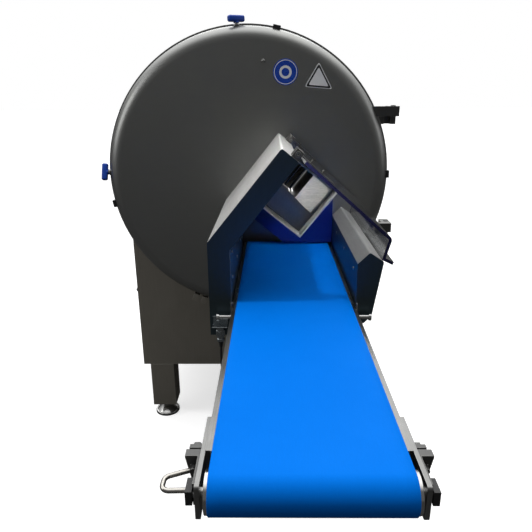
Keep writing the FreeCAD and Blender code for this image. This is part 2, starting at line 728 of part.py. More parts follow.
def flap_hinge_blocks():
    """Square clevis blocks on the hood's roof on both sides of each eye, with their pins."""
    solids = []
    half = FLAP_BLOCK / 2
    x, z = FLAP_HINGE
    (x0, z0), (x1, z1) = HOOD_OUTER[2], HOOD_OUTER[3]
    tilt = math.degrees(math.atan2(z1 - z0, x1 - x0))
    below_roof = prism_y([(x0, z0), (x1, z1), (x1, z1 - 200.0), (x0, z0 - 200.0)], HOOD_FRONT_Y, 0.0)
    reach = STRAP_W / 2 + FACE_CLEAR + CLEVIS_T
    for y in FLAP_HINGE_YS:
        for y0 in (y - reach, y + reach - CLEVIS_T):
            block = box(x - half, x + half, y0, y0 + CLEVIS_T, z - half - 6.0, z + half)
            block.rotate(vec(x, 0, z), Y_DIR, -tilt)
            block = block.cut(below_roof)
            solids.append(block.cut(disc_y(FLAP_PIN_R, y0, y0 + CLEVIS_T, x, z)))
        head = disc_y(7.0, y - reach - 5.0, y - reach, x, z)
        socket = hex_head(vec(x, y - reach - 5.0, z), Y_DIR, 6.0, 3.0)
        solids.append(disc_y(FLAP_PIN_R, y - reach, y + reach, x, z).fuse(head).removeSplitter().cut(socket))
    return group(solids)


# Conveyor ------------------------------------------------------------------------------
BED_T = 2.5
BED_FLANGE = 14.0
CROSS_YS = (-1100.0, -650.0, -250.0)
CROSS_R = 10.0
SPAN_X = 2 * (BELT_MID_X - RAIL_IN_LEFT)


def conveyor_rails():
    """Side rails with seats for the drive roller's axle."""
    rail = box(RAIL_OUT_LEFT, RAIL_IN_LEFT, RAIL_FRONT_Y, RAIL_REAR_Y, RAIL_BOTTOM, RAIL_TOP)
    rail = rail.cut(rod(vec(RAIL_OUT_LEFT, REAR_AXLE_Y, AXLE_Z), X_DIR, AXLE_R, RAIL_T))
    return group([rail, mirror_x(rail)])


def nose_plates():
    """End plates outside the rails, slotted for the front axle."""
    plate = box(NOSE_OUT_LEFT, RAIL_OUT_LEFT, NOSE_FRONT_Y, NOSE_REAR_Y, RAIL_BOTTOM, RAIL_TOP - 2.0)
    front = [edge for edge in plate.Edges
             if edge.BoundBox.XLength > 1.0 and edge.BoundBox.YMax < NOSE_FRONT_Y + 1.0]
    plate = plate.makeFillet(6.0, front)
    half = AXLE_R + 0.3
    slot = box(NOSE_OUT_LEFT, RAIL_OUT_LEFT, FRONT_AXLE_Y, FRONT_AXLE_Y + TAKE_UP,
               AXLE_Z - half, AXLE_Z + half)
    for y in (FRONT_AXLE_Y, FRONT_AXLE_Y + TAKE_UP):
        slot = slot.fuse(rod(vec(NOSE_OUT_LEFT, y, AXLE_Z), X_DIR, half, NOSE_T))
    plate = plate.cut(slot)
    return group([plate, mirror_x(plate)])


def belt_loop(radius):
    """A flat-sided loop round both rollers, filled in."""
    slab = box(BELT_LEFT, BELT_RIGHT, FRONT_AXLE_Y, REAR_AXLE_Y, AXLE_Z - radius, AXLE_Z + radius)
    ends = [rod(vec(BELT_LEFT, y, AXLE_Z), X_DIR, radius, BELT_WIDTH) for y in (FRONT_AXLE_Y, REAR_AXLE_Y)]
    return slab.fuse(ends).removeSplitter()


def conveyor_belt():
    return belt_loop(ROLLER_R + BELT_CLEAR + BELT_T).cut(belt_loop(ROLLER_R + BELT_CLEAR))


def slider_bed():
    """Folded bed plate that carries the belt's upper run."""
    top = AXLE_Z + ROLLER_R + BELT_CLEAR
    y0 = FRONT_AXLE_Y + ROLLER_R + TAKE_UP + 8.0
    y1 = REAR_AXLE_Y - ROLLER_R - 8.0
    plate = box(RAIL_IN_LEFT, RAIL_IN_LEFT + SPAN_X, y0, y1, top - BED_T, top)
    side = box(RAIL_IN_LEFT, RAIL_IN_LEFT + BED_T, y0, y1, top - BED_FLANGE, top - BED_T)
    return plate.fuse([side, mirror_x(side)]).removeSplitter()


def conveyor_crossbars():
    """Round spacers between the rails, and the fixed axle of the drive roller."""
    bars = [rod(vec(RAIL_IN_LEFT, y, AXLE_Z), X_DIR, CROSS_R, SPAN_X) for y in CROSS_YS]
    bars.append(rod(vec(RAIL_OUT_LEFT, REAR_AXLE_Y, AXLE_Z), X_DIR, AXLE_R, SPAN_X + 2 * RAIL_T))
    return group(bars)


def roller(y, overhang):
    """Roller shell that runs on its axle, wider than the belt by an overhang on each side."""
    start = vec(BELT_LEFT - overhang, y, AXLE_Z)
    return tube(start, X_DIR, ROLLER_R, AXLE_R + RUN_CLEAR, BELT_WIDTH + 2 * overhang)


CARRIER_T = 4.0
CARRIER_OUT = NOSE_OUT_LEFT - FACE_CLEAR
CARRIER_WEB_X = CARRIER_OUT - CARRIER_T
CARRIER_PLATE_Y = FRONT_AXLE_Y + 55.0
CARRIER_REACH = 24.0
CARRIER_LOW = RAIL_BOTTOM + 2.0
CARRIER_HIGH = RAIL_TOP - 8.0
BLOCK_T = 10.0
BOLT_R = 5.0
BOLT_X = CARRIER_WEB_X - 7.0


def front_axle():
    start = CARRIER_WEB_X - BLOCK_T
    return rod(vec(start, FRONT_AXLE_Y, AXLE_Z), X_DIR, AXLE_R, 2 * (BELT_MID_X - start))


def carrier_left():
    """Angle bracket that slides along the nose plate."""
    web = box(CARRIER_WEB_X, CARRIER_OUT, FRONT_AXLE_Y - 6.0, CARRIER_PLATE_Y,
              CARRIER_LOW + 14.0, CARRIER_HIGH)
    outline = [(CARRIER_OUT, CARRIER_LOW), (CARRIER_OUT - 14.0, CARRIER_LOW),
               (CARRIER_OUT - CARRIER_REACH, CARRIER_HIGH - CARRIER_T),
               (CARRIER_OUT - CARRIER_REACH, CARRIER_HIGH), (CARRIER_OUT, CARRIER_HIGH)]
    plate = prism_y(outline, CARRIER_PLATE_Y, CARRIER_PLATE_Y + CARRIER_T)
    lip = box(CARRIER_OUT - CARRIER_REACH, CARRIER_OUT, CARRIER_PLATE_Y + CARRIER_T,
              CARRIER_PLATE_Y + 16.0, CARRIER_HIGH - CARRIER_T, CARRIER_HIGH)
    body = web.fuse([plate, lip]).removeSplitter()
    body = body.cut(rod(vec(CARRIER_WEB_X, FRONT_AXLE_Y, AXLE_Z), X_DIR, AXLE_R, CARRIER_T))
    return body.cut(rod(vec(BOLT_X, CARRIER_PLATE_Y, AXLE_Z), Y_DIR, BOLT_R + 0.4, CARRIER_T))


def take_up_carriers():
    left = carrier_left()
    return group([left, mirror_x(left)])


def axle_block_left():
    block = box(CARRIER_WEB_X - BLOCK_T, CARRIER_WEB_X, FRONT_AXLE_Y - 14.0, FRONT_AXLE_Y + 16.0,
                AXLE_Z - 12.0, AXLE_Z + 12.0)
    return block.cut(rod(vec(CARRIER_WEB_X - BLOCK_T, FRONT_AXLE_Y, AXLE_Z), X_DIR, AXLE_R, BLOCK_T))


def axle_blocks():
    """Plastic blocks that hold the front axle's ends."""
    left = axle_block_left()
    return group([left, mirror_x(left)])


def take_up_bolts():
    """Tensioning bolt with washers in a lug on each nose plate."""
    nut_y = CARRIER_PLATE_Y + 40.0
    lug_y = nut_y - 9.0
    rear = CARRIER_PLATE_Y + CARRIER_T + TAKE_UP + 1.0
    shank = rod(vec(BOLT_X, CARRIER_PLATE_Y - 12.0, AXLE_Z), Y_DIR, BOLT_R, 62.0)
    washers = [rod(vec(BOLT_X, rear + gap, AXLE_Z), Y_DIR, 10.0, 2.5) for gap in (0.0, 5.0)]
    head = hex_head(vec(BOLT_X, nut_y, AXLE_Z), Y_DIR, 16.0, 9.0)
    bolt = shank.fuse(washers + [head]).removeSplitter()
    lug = box(BOLT_X - 11.0, NOSE_OUT_LEFT, lug_y, nut_y, AXLE_Z - 14.0, AXLE_Z + 11.0)
    lug = lug.cut(rod(vec(BOLT_X, lug_y, AXLE_Z), Y_DIR, BOLT_R, 9.0))
    return group([bolt, lug, mirror_x(bolt), mirror_x(lug)])


def path_rod(points, radius, bends):
    """A round rod along straight runs joined by arcs of the given bend radii."""
    edges = []
    start = points[0]
    for index in range(1, len(points) - 1):
        corner = points[index]
        before = (points[index - 1] - corner).normalize()
        after = (points[index + 1] - corner).normalize()
        half = before.getAngle(after) / 2
        reach = bends[index - 1] / math.tan(half)
        first = corner + before * reach
        last = corner + after * reach
        inward = (before + after).normalize()
        middle = corner + inward * (bends[index - 1] / math.sin(half) - bends[index - 1])
        edges.append(Part.LineSegment(start, first).toShape())
        edges.append(Part.Arc(first, middle, last).toShape())
        start = last
    edges.append(Part.LineSegment(start, points[-1]).toShape())
    profile = Part.Wire(Part.makeCircle(radius, points[0], points[1] - points[0]))
    return Part.Wire(edges).makePipeShell([profile], True, False)


HANDLE_ROD_R = 4.0
HANDLE_OUT = 50.0
HANDLE_BEND = 12.0
HANDLE_SLANT = 14.0      # rear leg comes forward by this much at its outer end


def pull_handle():
    """Loop of round rod on the left carrier, for drawing the front roller back."""
    tip = CARRIER_WEB_X - HANDLE_OUT
    rear = CARRIER_PLATE_Y - 1.0
    front = FRONT_AXLE_Y + 11.0
    z = AXLE_Z - 7.0
    points = [vec(CARRIER_WEB_X - 13.0, rear, z), vec(tip, rear - HANDLE_SLANT, z - 1.0),
              vec(tip, front, z - 1.0), vec(CARRIER_WEB_X - BLOCK_T + 2.0, front, z)]
    handle = path_rod(points, HANDLE_ROD_R, [HANDLE_BEND, HANDLE_BEND])
    return handle.cut(carrier_left()).cut(axle_block_left())


# Cradle that hangs the conveyor under the hood ----------------------------------------
CRADLE_LOW = 700.0
CRADLE_T = 3.0
CRADLE_WALL = 2.0
CRADLE_TOP = 800.0
CRADLE_YS = (HOOD_FRONT_Y + 6.0, -6.0)


def conveyor_cradle():
    """Trough between hood and guard under the conveyor, with a block below each rail end."""
    left = HOOD_INNER[0][0]
    y0, y1 = CRADLE_YS
    floor = box(left, GUARD_X, y0, y1, CRADLE_LOW, CRADLE_LOW + CRADLE_T)
    window = box(left + 60.0, GUARD_X - 60.0, y0 + 60.0, y1 - 60.0, CRADLE_LOW, CRADLE_LOW + CRADLE_T)
    walls = [box(x, x + CRADLE_WALL, y0, y1, CRADLE_LOW + CRADLE_T, CRADLE_TOP)
             for x in (left, GUARD_X - CRADLE_WALL)]
    saddles = []
    for y in (y0 + 10.0, y1 - 50.0):
        for x in (RAIL_OUT_LEFT, RAIL_IN_LEFT + SPAN_X):
            saddles.append(box(x, x + RAIL_T, y, y + 40.0, CRADLE_LOW + CRADLE_T, RAIL_BOTTOM))
    return floor.cut(window).fuse(walls + saddles).removeSplitter()


STUD_Y = HOOD_FRONT_Y - 20.0
STUD_Z = 797.0
STRAP_TOP = 838.0


def locking_studs():
    """T studs and short straps that lock the rails just in front of the hood."""
    collar = rod(vec(RAIL_OUT_LEFT, STUD_Y, STUD_Z), -X_DIR, 9.0, 5.0)
    shank = rod(vec(RAIL_OUT_LEFT, STUD_Y, STUD_Z), -X_DIR, 6.0, 34.0)
    head = rod(vec(RAIL_OUT_LEFT - 34.0, STUD_Y, STUD_Z), -X_DIR, 10.0, 7.0)
    stud = collar.fuse([shank, head]).removeSplitter()
    strap = box(RAIL_OUT_LEFT - 3.0, RAIL_OUT_LEFT, STUD_Y - 8.0, STUD_Y + 8.0, STUD_Z + 10.0, STRAP_TOP)
    return group([stud, strap, mirror_x(stud), mirror_x(strap)])


# Connector and cable ----------------------------------------------------------------
PLUG_X = -51.0
PLUG_Y = HOOD_FRONT_Y - 16.0
PLUG_TOP = 770.0
PLUG_RINGS = ((13.0, 3.0), (10.5, 9.0), (12.0, 17.0), (9.0, 6.0), (10.5, 8.0), (7.0, 18.0))
CABLE_R = 3.5
CABLE_POINTS = [(-51.0, -597.0, 709.0), (-52.0, -596.0, 668.0), (-50.0, -588.0, 628.0),
                (-43.0, -568.0, 594.0), (-30.0, -540.0, 575.0), (-12.0, -506.0, 571.0),
                (4.0, -474.0, 586.0), (15.0, -452.0, 618.0), (20.0, -441.0, 654.0),
                (21.0, -437.0, 688.0)]
CABLE_BEND_SHARE = 0.45


def cable_connectors():
    """Connector under its bracket on the hood's front, and the gland under the cradle."""
    plate = box(PLUG_X - 20.0, PLUG_X + 20.0, PLUG_Y - 16.0, HOOD_FRONT_Y, PLUG_TOP, PLUG_TOP + 3.0)
    back = box(PLUG_X - 20.0, PLUG_X + 20.0, HOOD_FRONT_Y - 3.0, HOOD_FRONT_Y,
               PLUG_TOP + 3.0, PLUG_TOP + 22.0)
    z = PLUG_TOP
    rings = []
    for radius, height in PLUG_RINGS:
        z -= height
        rings.append(rod(vec(PLUG_X, PLUG_Y, z), Z_DIR, radius, height))
    plug = rings[0].fuse(rings[1:]).removeSplitter()
    x, y, z = CABLE_POINTS[-1]
    gland = rod(vec(x, y, z), Z_DIR, 8.0, CRADLE_LOW - z)
    nut = hex_head(vec(x, y, CRADLE_LOW - 7.0), Z_DIR, 20.0, 7.0)
    return group([plate.fuse(back).removeSplitter(), plug, gland.fuse(nut).removeSplitter()])


def motor_cable():
    """Lead of the conveyor's drum motor, in one hanging loop from connector to gland."""
    points = [vec(*point) for point in CABLE_POINTS]
    bends = []
    for index in range(1, len(points) - 1):
        before = points[index - 1] - points[index]
        after = points[index + 1] - points[index]
        half = before.getAngle(after) / 2
        bends.append(CABLE_BEND_SHARE * min(before.Length, after.Length) * math.tan(half))
    print("cable bend radii", [round(bend, 1) for bend in bends])
    return path_rod(points, CABLE_R, bends).cut(cable_connectors())


# Blade and drive ----------------------------------------------------------------------
HUB_R = 48.0
HUB_REAR_Y = 106.0
CLAMP_R = 60.0
CLAMP_T = 12.0
BLADE_ROOT_R = 78.0
BLADE_REAR_Y = BLADE_FRONT_Y + BLADE_T
BLADE_SWEEP = 93.0       # outer arc, from the tip back
BLADE_BOW_R = 215.0      # hollow back, half way
BLADE_BACK_ANGLE = 150.0
BEVEL_W = 26.0
CLAMP_BOLT_R = 5.0
CLAMP_CIRCLE = 36.0
CLAMP_BOLT_REAR = 100.0


def polar(radius, angle):
    """An offset from the blade axis, for a radius and an angle in radians."""
    return (radius * math.cos(angle), radius * math.sin(angle))


def axis_point(offset, y):
    return vec(offset[0], y, AXIS_Z + offset[1])


def blade_tip():
    """Where the straight cutting edge reaches the outer radius."""
    (x, z), (dx, dz) = BLADE_EDGE, BLADE_EDGE_DIR
    half = x * dx + z * dz
    reach = -half + math.sqrt(half * half - (x * x + z * z - BLADE_R * BLADE_R))
    return (x + dx * reach, z + dz * reach)


def blade_wing():
    """Sickle between the straight cutting edge, the outer arc and the hollow back."""
    y = BLADE_FRONT_Y
    tip = blade_tip()
    lead = math.atan2(tip[1], tip[0])
    trail = lead - math.radians(BLADE_SWEEP)
    back = math.radians(BLADE_BACK_ANGLE - 360.0)
    root_in = (BLADE_EDGE[0] - BLADE_EDGE_DIR[0] * 80.0, BLADE_EDGE[1] - BLADE_EDGE_DIR[1] * 80.0)
    root_out = polar(BLADE_ROOT_R * 0.9, back)
    heel = axis_point(polar(BLADE_R, trail), y)
    rim = axis_point(polar(BLADE_R, (lead + trail) / 2), y)
    bow = axis_point(polar(BLADE_BOW_R, (trail + back) / 2), y)
    edges = [
        Part.LineSegment(axis_point(root_in, y), axis_point(tip, y)).toShape(),
        Part.Arc(axis_point(tip, y), rim, heel).toShape(),
        Part.Arc(heel, bow, axis_point(root_out, y)).toShape(),
        Part.LineSegment(axis_point(root_out, y), axis_point(root_in, y)).toShape(),
    ]
    return Part.Face(Part.Wire(edges)).extrude(vec(0, BLADE_T, 0))


def blade_bevel():
    """Wedge that is ground off the front of the straight edge."""
    dx, dz = BLADE_EDGE_DIR
    start = axis_point((BLADE_EDGE[0] - dx * 20.0, BLADE_EDGE[1] - dz * 20.0), BLADE_FRONT_Y)
    inward = vec(dz, 0, -dx)
    corners = [start - inward - Y_DIR, start + inward * BEVEL_W - Y_DIR, start + inward * BEVEL_W,
               start - inward + Y_DIR * (BLADE_T - 0.6)]
    wedge = Part.Face(Part.makePolygon(corners + [corners[0]]))
    return wedge.extrude(vec(dx, 0, dz) * (BLADE_R - 10.0))


def clamp_bolt_shanks(y0, y1):
    shanks = []
    for index in range(6):
        x, z = polar(CLAMP_CIRCLE, math.radians(60 * index + 15))
        shanks.append(disc_y(CLAMP_BOLT_R, y0, y1, x, AXIS_Z + z))
    return shanks


def sickle_blade():
    """Sickle wing on a round root that sits between hub and clamp disc."""
    root = disc_y(BLADE_ROOT_R, BLADE_FRONT_Y, BLADE_REAR_Y)
    blade = blade_wing().cut(blade_bevel()).fuse(root).removeSplitter()
    holes = clamp_bolt_shanks(BLADE_FRONT_Y, BLADE_REAR_Y) + [disc_y(SHAFT_R, BLADE_FRONT_Y, BLADE_REAR_Y)]
    return blade.cut(group(holes))


def blade_shaft():
    """Main shaft with the hub flange that the blade bolts on."""
    shaft = disc_y(SHAFT_R, BLADE_FRONT_Y - CLAMP_T - 4.0, PULLEY_Y + PULLEY_W + 10.0)
    hub = disc_y(HUB_R, BLADE_REAR_Y, HUB_REAR_Y)
    shaft = shaft.fuse(hub).removeSplitter()
    return shaft.cut(group(clamp_bolt_shanks(BLADE_REAR_Y, CLAMP_BOLT_REAR)))


def blade_clamp_disc():
    front = BLADE_FRONT_Y - CLAMP_T
    disc = disc_y(CLAMP_R, front, BLADE_FRONT_Y)
    disc = disc.makeChamfer(2.0, [front_rim_edge(disc)])
    holes = clamp_bolt_shanks(front, BLADE_FRONT_Y) + [disc_y(SHAFT_R, front, BLADE_FRONT_Y)]
    return disc.cut(group(holes))


def clamp_bolts():
    """Six socket-head bolts through the clamp disc and the blade into the hub."""
    bolts = []
    front = BLADE_FRONT_Y - CLAMP_T
    for shank in clamp_bolt_shanks(front, CLAMP_BOLT_REAR):
        centre = shank.BoundBox.Center
        head = disc_y(8.0, front - 8.0, front, centre.x, centre.z)
        socket = hex_head(vec(centre.x, front - 8.0, centre.z), Y_DIR, 8.0, 5.0)
        bolts.append(shank.fuse(head).removeSplitter().cut(socket))
    return group(bolts)


def spindle_housing():
    """Bearing tube behind the blade housing, set into its back plate."""
    front = HOUSING_BACK_Y - BACK_PLATE_T
    body = disc_y(SPINDLE_R, front, SPINDLE_END_Y)
    neck = disc_y(SHAFT_R + 1.0, front, BEARING_YS[0])
    return body.cut(neck).cut(disc_y(BEARING_R, BEARING_YS[0], SPINDLE_END_Y))


def shaft_bearings():
    return group([ring_y(BEARING_R, SHAFT_R + RUN_CLEAR, y, y + BEARING_W) for y in BEARING_YS])


def flanged_pulley(radius, x):
    """Pulley body with a flange at each side."""
    far = PULLEY_Y + PULLEY_W
    body = disc_y(radius, PULLEY_Y, far, x)
    flanges = [disc_y(radius + 3.0, y, y + 2.5, x) for y in (PULLEY_Y, far - 2.5)]
    return body.fuse(flanges).removeSplitter()


def blade_pulley():
    return flanged_pulley(BLADE_PULLEY_R, 0.0).cut(disc_y(SHAFT_R, PULLEY_Y, PULLEY_Y + PULLEY_W))


def motor_shaft():
    """Motor shaft with its pulley."""
    shaft = disc_y(MOTOR_SHAFT_R, MOTOR_BORE_Y + 2.0, PULLEY_Y + PULLEY_W + 6.0, MOTOR_X)
    return shaft.fuse(flanged_pulley(MOTOR_PULLEY_R, MOTOR_X)).removeSplitter()


def belt_outline(margin, y0, y1):
    """The region inside a belt that runs round both drive pulleys."""
    r1 = BLADE_PULLEY_R + margin
    r2 = MOTOR_PULLEY_R + margin
    lean = math.asin((r1 - r2) / -MOTOR_X)
    rise = math.cos(lean)
    back = math.sin(lean)
    near = -r1 * back
    far = MOTOR_X - r2 * back
    middle = prism_y([(near, AXIS_Z + r1 * rise), (far, AXIS_Z + r2 * rise),
                      (far, AXIS_Z - r2 * rise), (near, AXIS_Z - r1 * rise)], y0, y1)
    return middle.fuse([disc_y(r1, y0, y1), disc_y(r2, y0, y1, MOTOR_X)])


def drive_belt():
    y0 = PULLEY_Y + 4.0
    y1 = PULLEY_Y + PULLEY_W - 4.0
    return belt_outline(BELT_CLEAR + DRIVE_BELT_T, y0, y1).cut(belt_outline(BELT_CLEAR, y0, y1))


MOTOR_SHAFT_R = 14.0
MOTOR_FRONT_Y = 140.0
MOTOR_BORE_Y = 200.0
MOTOR_MOUNT_Y = 322.0
MOTOR_MOUNT_T = 12.0
DRIVE_X = (-CABINET_HALF, -96.0)
DRIVE_Y = (HOUSING_BACK_Y, 430.0)
DRIVE_Z = (CABINET_TOP, 1240.0)
DRIVE_NECK_R = 74.0


def blade_motor():
    """Motor body with cooling ribs and a mounting flange."""
    body = disc_y(MOTOR_R - 8.0, MOTOR_FRONT_Y, MOTOR_MOUNT_Y, MOTOR_X)
    ribs = [disc_y(MOTOR_R, y, y + 6.0, MOTOR_X) for y in range(170, 300, 14)]
    flange = disc_y(MOTOR_R, MOTOR_MOUNT_Y - 10.0, MOTOR_MOUNT_Y, MOTOR_X)
    body = body.fuse(ribs + [flange]).removeSplitter()
    return body.cut(disc_y(MOTOR_SHAFT_R + RUN_CLEAR, MOTOR_BORE_Y, MOTOR_MOUNT_Y, MOTOR_X))


def drive_box(inset):
    """Outside of the drive housing, or its inside when inset by the sheet."""
    x0, x1 = DRIVE_X
    y0 = DRIVE_Y[0] + inset
    y1 = DRIVE_Y[1] - inset
    main = box(x0 + inset, x1 - inset, y0, y1, DRIVE_Z[0] + inset, DRIVE_Z[1] - inset)
    half = DRIVE_NECK_R - inset
    bridge = box(x1 - 10.0, 0.0, y0, y1, AXIS_Z - half, AXIS_Z + half)
    return main.fuse([bridge, disc_y(half, y0, y1)]).removeSplitter()


def drive_housing():
    """Closed sheet housing round the belt drive, with a welded plate that carries the motor."""
    shell = drive_box(0.0).cut(drive_box(SHEET))
    shell = shell.cut(disc_y(SPINDLE_R, HOUSING_BACK_Y, HOUSING_BACK_Y + SHEET))
    far = MOTOR_MOUNT_Y + MOTOR_MOUNT_T
    plate = box(DRIVE_X[0] + SHEET, DRIVE_X[1] - SHEET, MOTOR_MOUNT_Y, far,
                DRIVE_Z[0] + SHEET, DRIVE_Z[1] - SHEET)
    plate = plate.cut(disc_y(MOTOR_SHAFT_R + 4.0, MOTOR_MOUNT_Y, far, MOTOR_X))
    return shell.fuse(plate).removeSplitter()


# Infeed -------------------------------------------------------------------------------
SUPPORT_YS = (220.0, 640.0, 1000.0)
SUPPORT_T = 8.0
LID_EDGE = CHANNEL_END + FACE_CLEAR
LID_PIN_R = 3.0
LID_EYE_R = 6.5
LID_EYE_L = 20.0
LID_HINGE = v_point(LID_EDGE, CHANNEL_INSET - CHANNEL_WALL - LID_EYE_R - 0.5)
LID_HINGE_YS = (480.0, 740.0, 1010.0)
LID_EYE_GAP = 0.4


def slot_cut():
    """Notch along the bottom of the V, for the pusher's neck."""
    low = CHANNEL_INSET - CHANNEL_WALL - 1.0
    high = CHANNEL_INSET + TROUGH_SLOT
    return v_block(low, high, low, high, TROUGH_START_Y, TROUGH_END_Y)


def infeed_trough():
    """Square tunnel behind the mouth, then an open V, slotted along the bottom."""
    tunnel = channel_square(CHANNEL_WALL, TROUGH_START_Y, LID_START_Y - FACE_CLEAR)
    low = CHANNEL_INSET - CHANNEL_WALL
    lengths = (LID_START_Y - FACE_CLEAR, TROUGH_END_Y)
    right = v_block(CHANNEL_INSET, CHANNEL_END, low, CHANNEL_INSET, *lengths)
    left = v_block(low, CHANNEL_INSET, CHANNEL_INSET, CHANNEL_END, *lengths)
    inside = channel_square(0.0, TROUGH_START_Y, TROUGH_END_Y)
    return tunnel.fuse([right, left]).cut(inside).cut(slot_cut()).removeSplitter()


def trough_supports():
    """Gusset plates on the cabinet that carry both walls of the trough."""
    outer = CHANNEL_INSET - CHANNEL_WALL
    plates = []
    for y in SUPPORT_YS:
        for along, top in ((v_point(50.0, outer), v_point(CHANNEL_END - 40.0, outer)),
                           (v_point(outer, 50.0), v_point(outer, CHANNEL_END - 56.0))):
            away = 26.0 if top[0] > along[0] else -26.0
            outline = [along, top, (top[0], CABINET_TOP), (along[0] + away, CABINET_TOP)]
            plates.append(prism_y(outline, y, y + SUPPORT_T))
    return group(plates)


def lid_hinge():
    """Hinge seats with their pins on the trough's right wall."""
    solids = []
    wall = CHANNEL_INSET - CHANNEL_WALL
    for y in LID_HINGE_YS:
        pin = disc_y(LID_PIN_R, y - LID_EYE_GAP - LID_EYE_L, y + 2 * LID_EYE_L + LID_EYE_GAP, *LID_HINGE)
        pieces = [pin]
        for y0 in (y - LID_EYE_GAP - LID_EYE_L, y + LID_EYE_L + LID_EYE_GAP):
            pieces.append(disc_y(LID_EYE_R, y0, y0 + LID_EYE_L, *LID_HINGE))
            pieces.append(v_block(CHANNEL_END - 30.0, CHANNEL_END - 1.0, wall - 9.0, wall,
                                  y0, y0 + LID_EYE_L))
        solids.append(pieces[0].fuse(pieces[1:]).removeSplitter())
    return group(solids)


def infeed_lid():
    """Folded lid over the open part of the trough, with its hinge eyes and handle."""
    start = CHANNEL_INSET - CHANNEL_WALL
    path = [v_point(LID_EDGE, start), v_point(LID_EDGE, LID_EDGE), v_point(start, LID_EDGE)]
    lid = bent_sheet(path, -CHANNEL_WALL, LID_START_Y, TROUGH_END_Y - 6.0)
    pieces = []
    outer = LID_EDGE + CHANNEL_WALL
    bores = []
    for y in LID_HINGE_YS:
        pieces.append(disc_y(LID_EYE_R, y, y + LID_EYE_L, *LID_HINGE))
        pieces.append(v_block(outer - 1.0, outer + 2.5, start - LID_EYE_R, 26.0, y, y + LID_EYE_L))
        bores.append(disc_y(LID_PIN_R + RUN_CLEAR, y, y + LID_EYE_L, *LID_HINGE))
    x, z = v_point(60.0, outer - 1.0)
    normal = vec(ARM_2[0], 0, ARM_2[1]) * 40.0
    grip = [vec(x, 660.0, z), vec(x, 660.0, z) + normal, vec(x, 800.0, z) + normal, vec(x, 800.0, z)]
    pieces.append(path_rod(grip, 5.0, [14.0, 14.0]))
    return lid.fuse(pieces).removeSplitter().cut(group(bores))


CARRIAGE_HALF = 30.0
CARRIAGE_TOP = 846.0
CARRIAGE_GAP = 0.3
CHANNEL_X = v_point(CHANNEL_INSET, CHANNEL_INSET)[0]


def pusher_plate():
    """Square pusher with a neck through the trough's slot."""
    low = CHANNEL_INSET + PUSHER_GAP
    high = CHANNEL_END - PUSHER_GAP
    plate = v_block(low, high, low, high, PUSHER_FACE_Y, PUSHER_FACE_Y + 24.0)
    neck = box(CHANNEL_X - 5.0, CHANNEL_X + 5.0, PUSHER_FACE_Y, PUSHER_FACE_Y + 24.0, CARRIAGE_TOP, 900.0)
    return plate.fuse(neck).removeSplitter()


def pusher_carriage():
    """Carriage that straddles the guide rail under the trough."""
    y0 = PUSHER_FACE_Y - 10.0
    y1 = PUSHER_FACE_Y + 90.0
    half = GUIDE_RAIL_HALF + CARRIAGE_GAP
    block = box(CHANNEL_X - CARRIAGE_HALF, CHANNEL_X + CARRIAGE_HALF, y0, y1, CABINET_TOP + 4.0, CARRIAGE_TOP)
    return block.cut(box(CHANNEL_X - half, CHANNEL_X + half, y0, y1, CABINET_TOP + 4.0,
                         CABINET_TOP + GUIDE_RAIL_H + CARRIAGE_GAP))


GUIDE_RAIL_HALF = 12.0


def pusher_rail():
    return box(CHANNEL_X - GUIDE_RAIL_HALF, CHANNEL_X + GUIDE_RAIL_HALF, TROUGH_START_Y + 10.0,
               CABINET_REAR_Y - 8.0, CABINET_TOP, CABINET_TOP + GUIDE_RAIL_H)


# Assembly ------------------------------------------------------------------------------
MACHINE = {
    "blade_housing": blade_housing,
    "housing_seal": housing_seal,
    "hinge_brackets": hinge_brackets,
    "cover_rests": cover_rests,
    "infeed_mouth": infeed_mouth,
    "product_guide": product_guide,
    "cabinet_shell": cabinet_shell,
    "cabinet_legs": cabinet_legs,
    "levelling_feet": levelling_feet,
    "service_panel": service_panel,
    "cabinet_screws": cabinet_screws,
    "drive_housing": drive_housing,
    "spindle_housing": spindle_housing,
    "shaft_bearings": shaft_bearings,
    "blade_motor": blade_motor,
    "drive_belt": drive_belt,
    "infeed_trough": infeed_trough,
    "trough_supports": trough_supports,
    "lid_hinge": lid_hinge,
    "pusher_rail": pusher_rail,
}
BLADE_ROTOR = {
    "blade_shaft": blade_shaft,
    "sickle_blade": sickle_blade,
    "blade_clamp_disc": blade_clamp_disc,
    "clamp_bolts": clamp_bolts,
    "blade_pulley": blade_pulley,
}
MOTOR_ROTOR = {
    "motor_shaft": motor_shaft,
}
COVER = {
    "cover_shell": cover_shell,
    "cover_hinge_arms": cover_hinge_arms,
    "safety_magnets": safety_magnets,
    "safety_signs": safety_signs,
    "hood_shell": hood_shell,
    "hood_liner": hood_liner,
    "hood_screws": hood_screws,
    "guard_shell": guard_shell,
    "outfeed_chute": outfeed_chute,
    "deflector_plate": deflector_plate,
    "flap_hinge_blocks": flap_hinge_blocks,
    "conveyor_cradle": conveyor_cradle,
    "conveyor_rails": conveyor_rails,
    "nose_plates": nose_plates,
    "slider_bed": slider_bed,
    "conveyor_crossbars": conveyor_crossbars,
    "conveyor_belt": conveyor_belt,
    "locking_studs": locking_studs,
    "take_up_bolts": take_up_bolts,
    "cable_connectors": cable_connectors,
    "motor_cable": motor_cable,
}
FLAP = {
    "clear_flap": clear_flap,
    "flap_straps": flap_straps,
}
DRIVE_ROLLER = {
    "drive_roller": lambda: roller(REAR_AXLE_Y, 1.0),
}
TAKE_UP_SLIDE = {
    "take_up_carriers": take_up_carriers,
    "axle_blocks": axle_blocks,
    "front_axle": front_axle,
    "pull_handle": pull_handle,
}
FRONT_ROLLER = {
    "front_roller": lambda: roller(FRONT_AXLE_Y, 5.5),
}
KNOB_TOP = {
    "clamp_knob_top": lambda: clamp_knob(KNOB_TOP_ANGLE, 35.0),
}
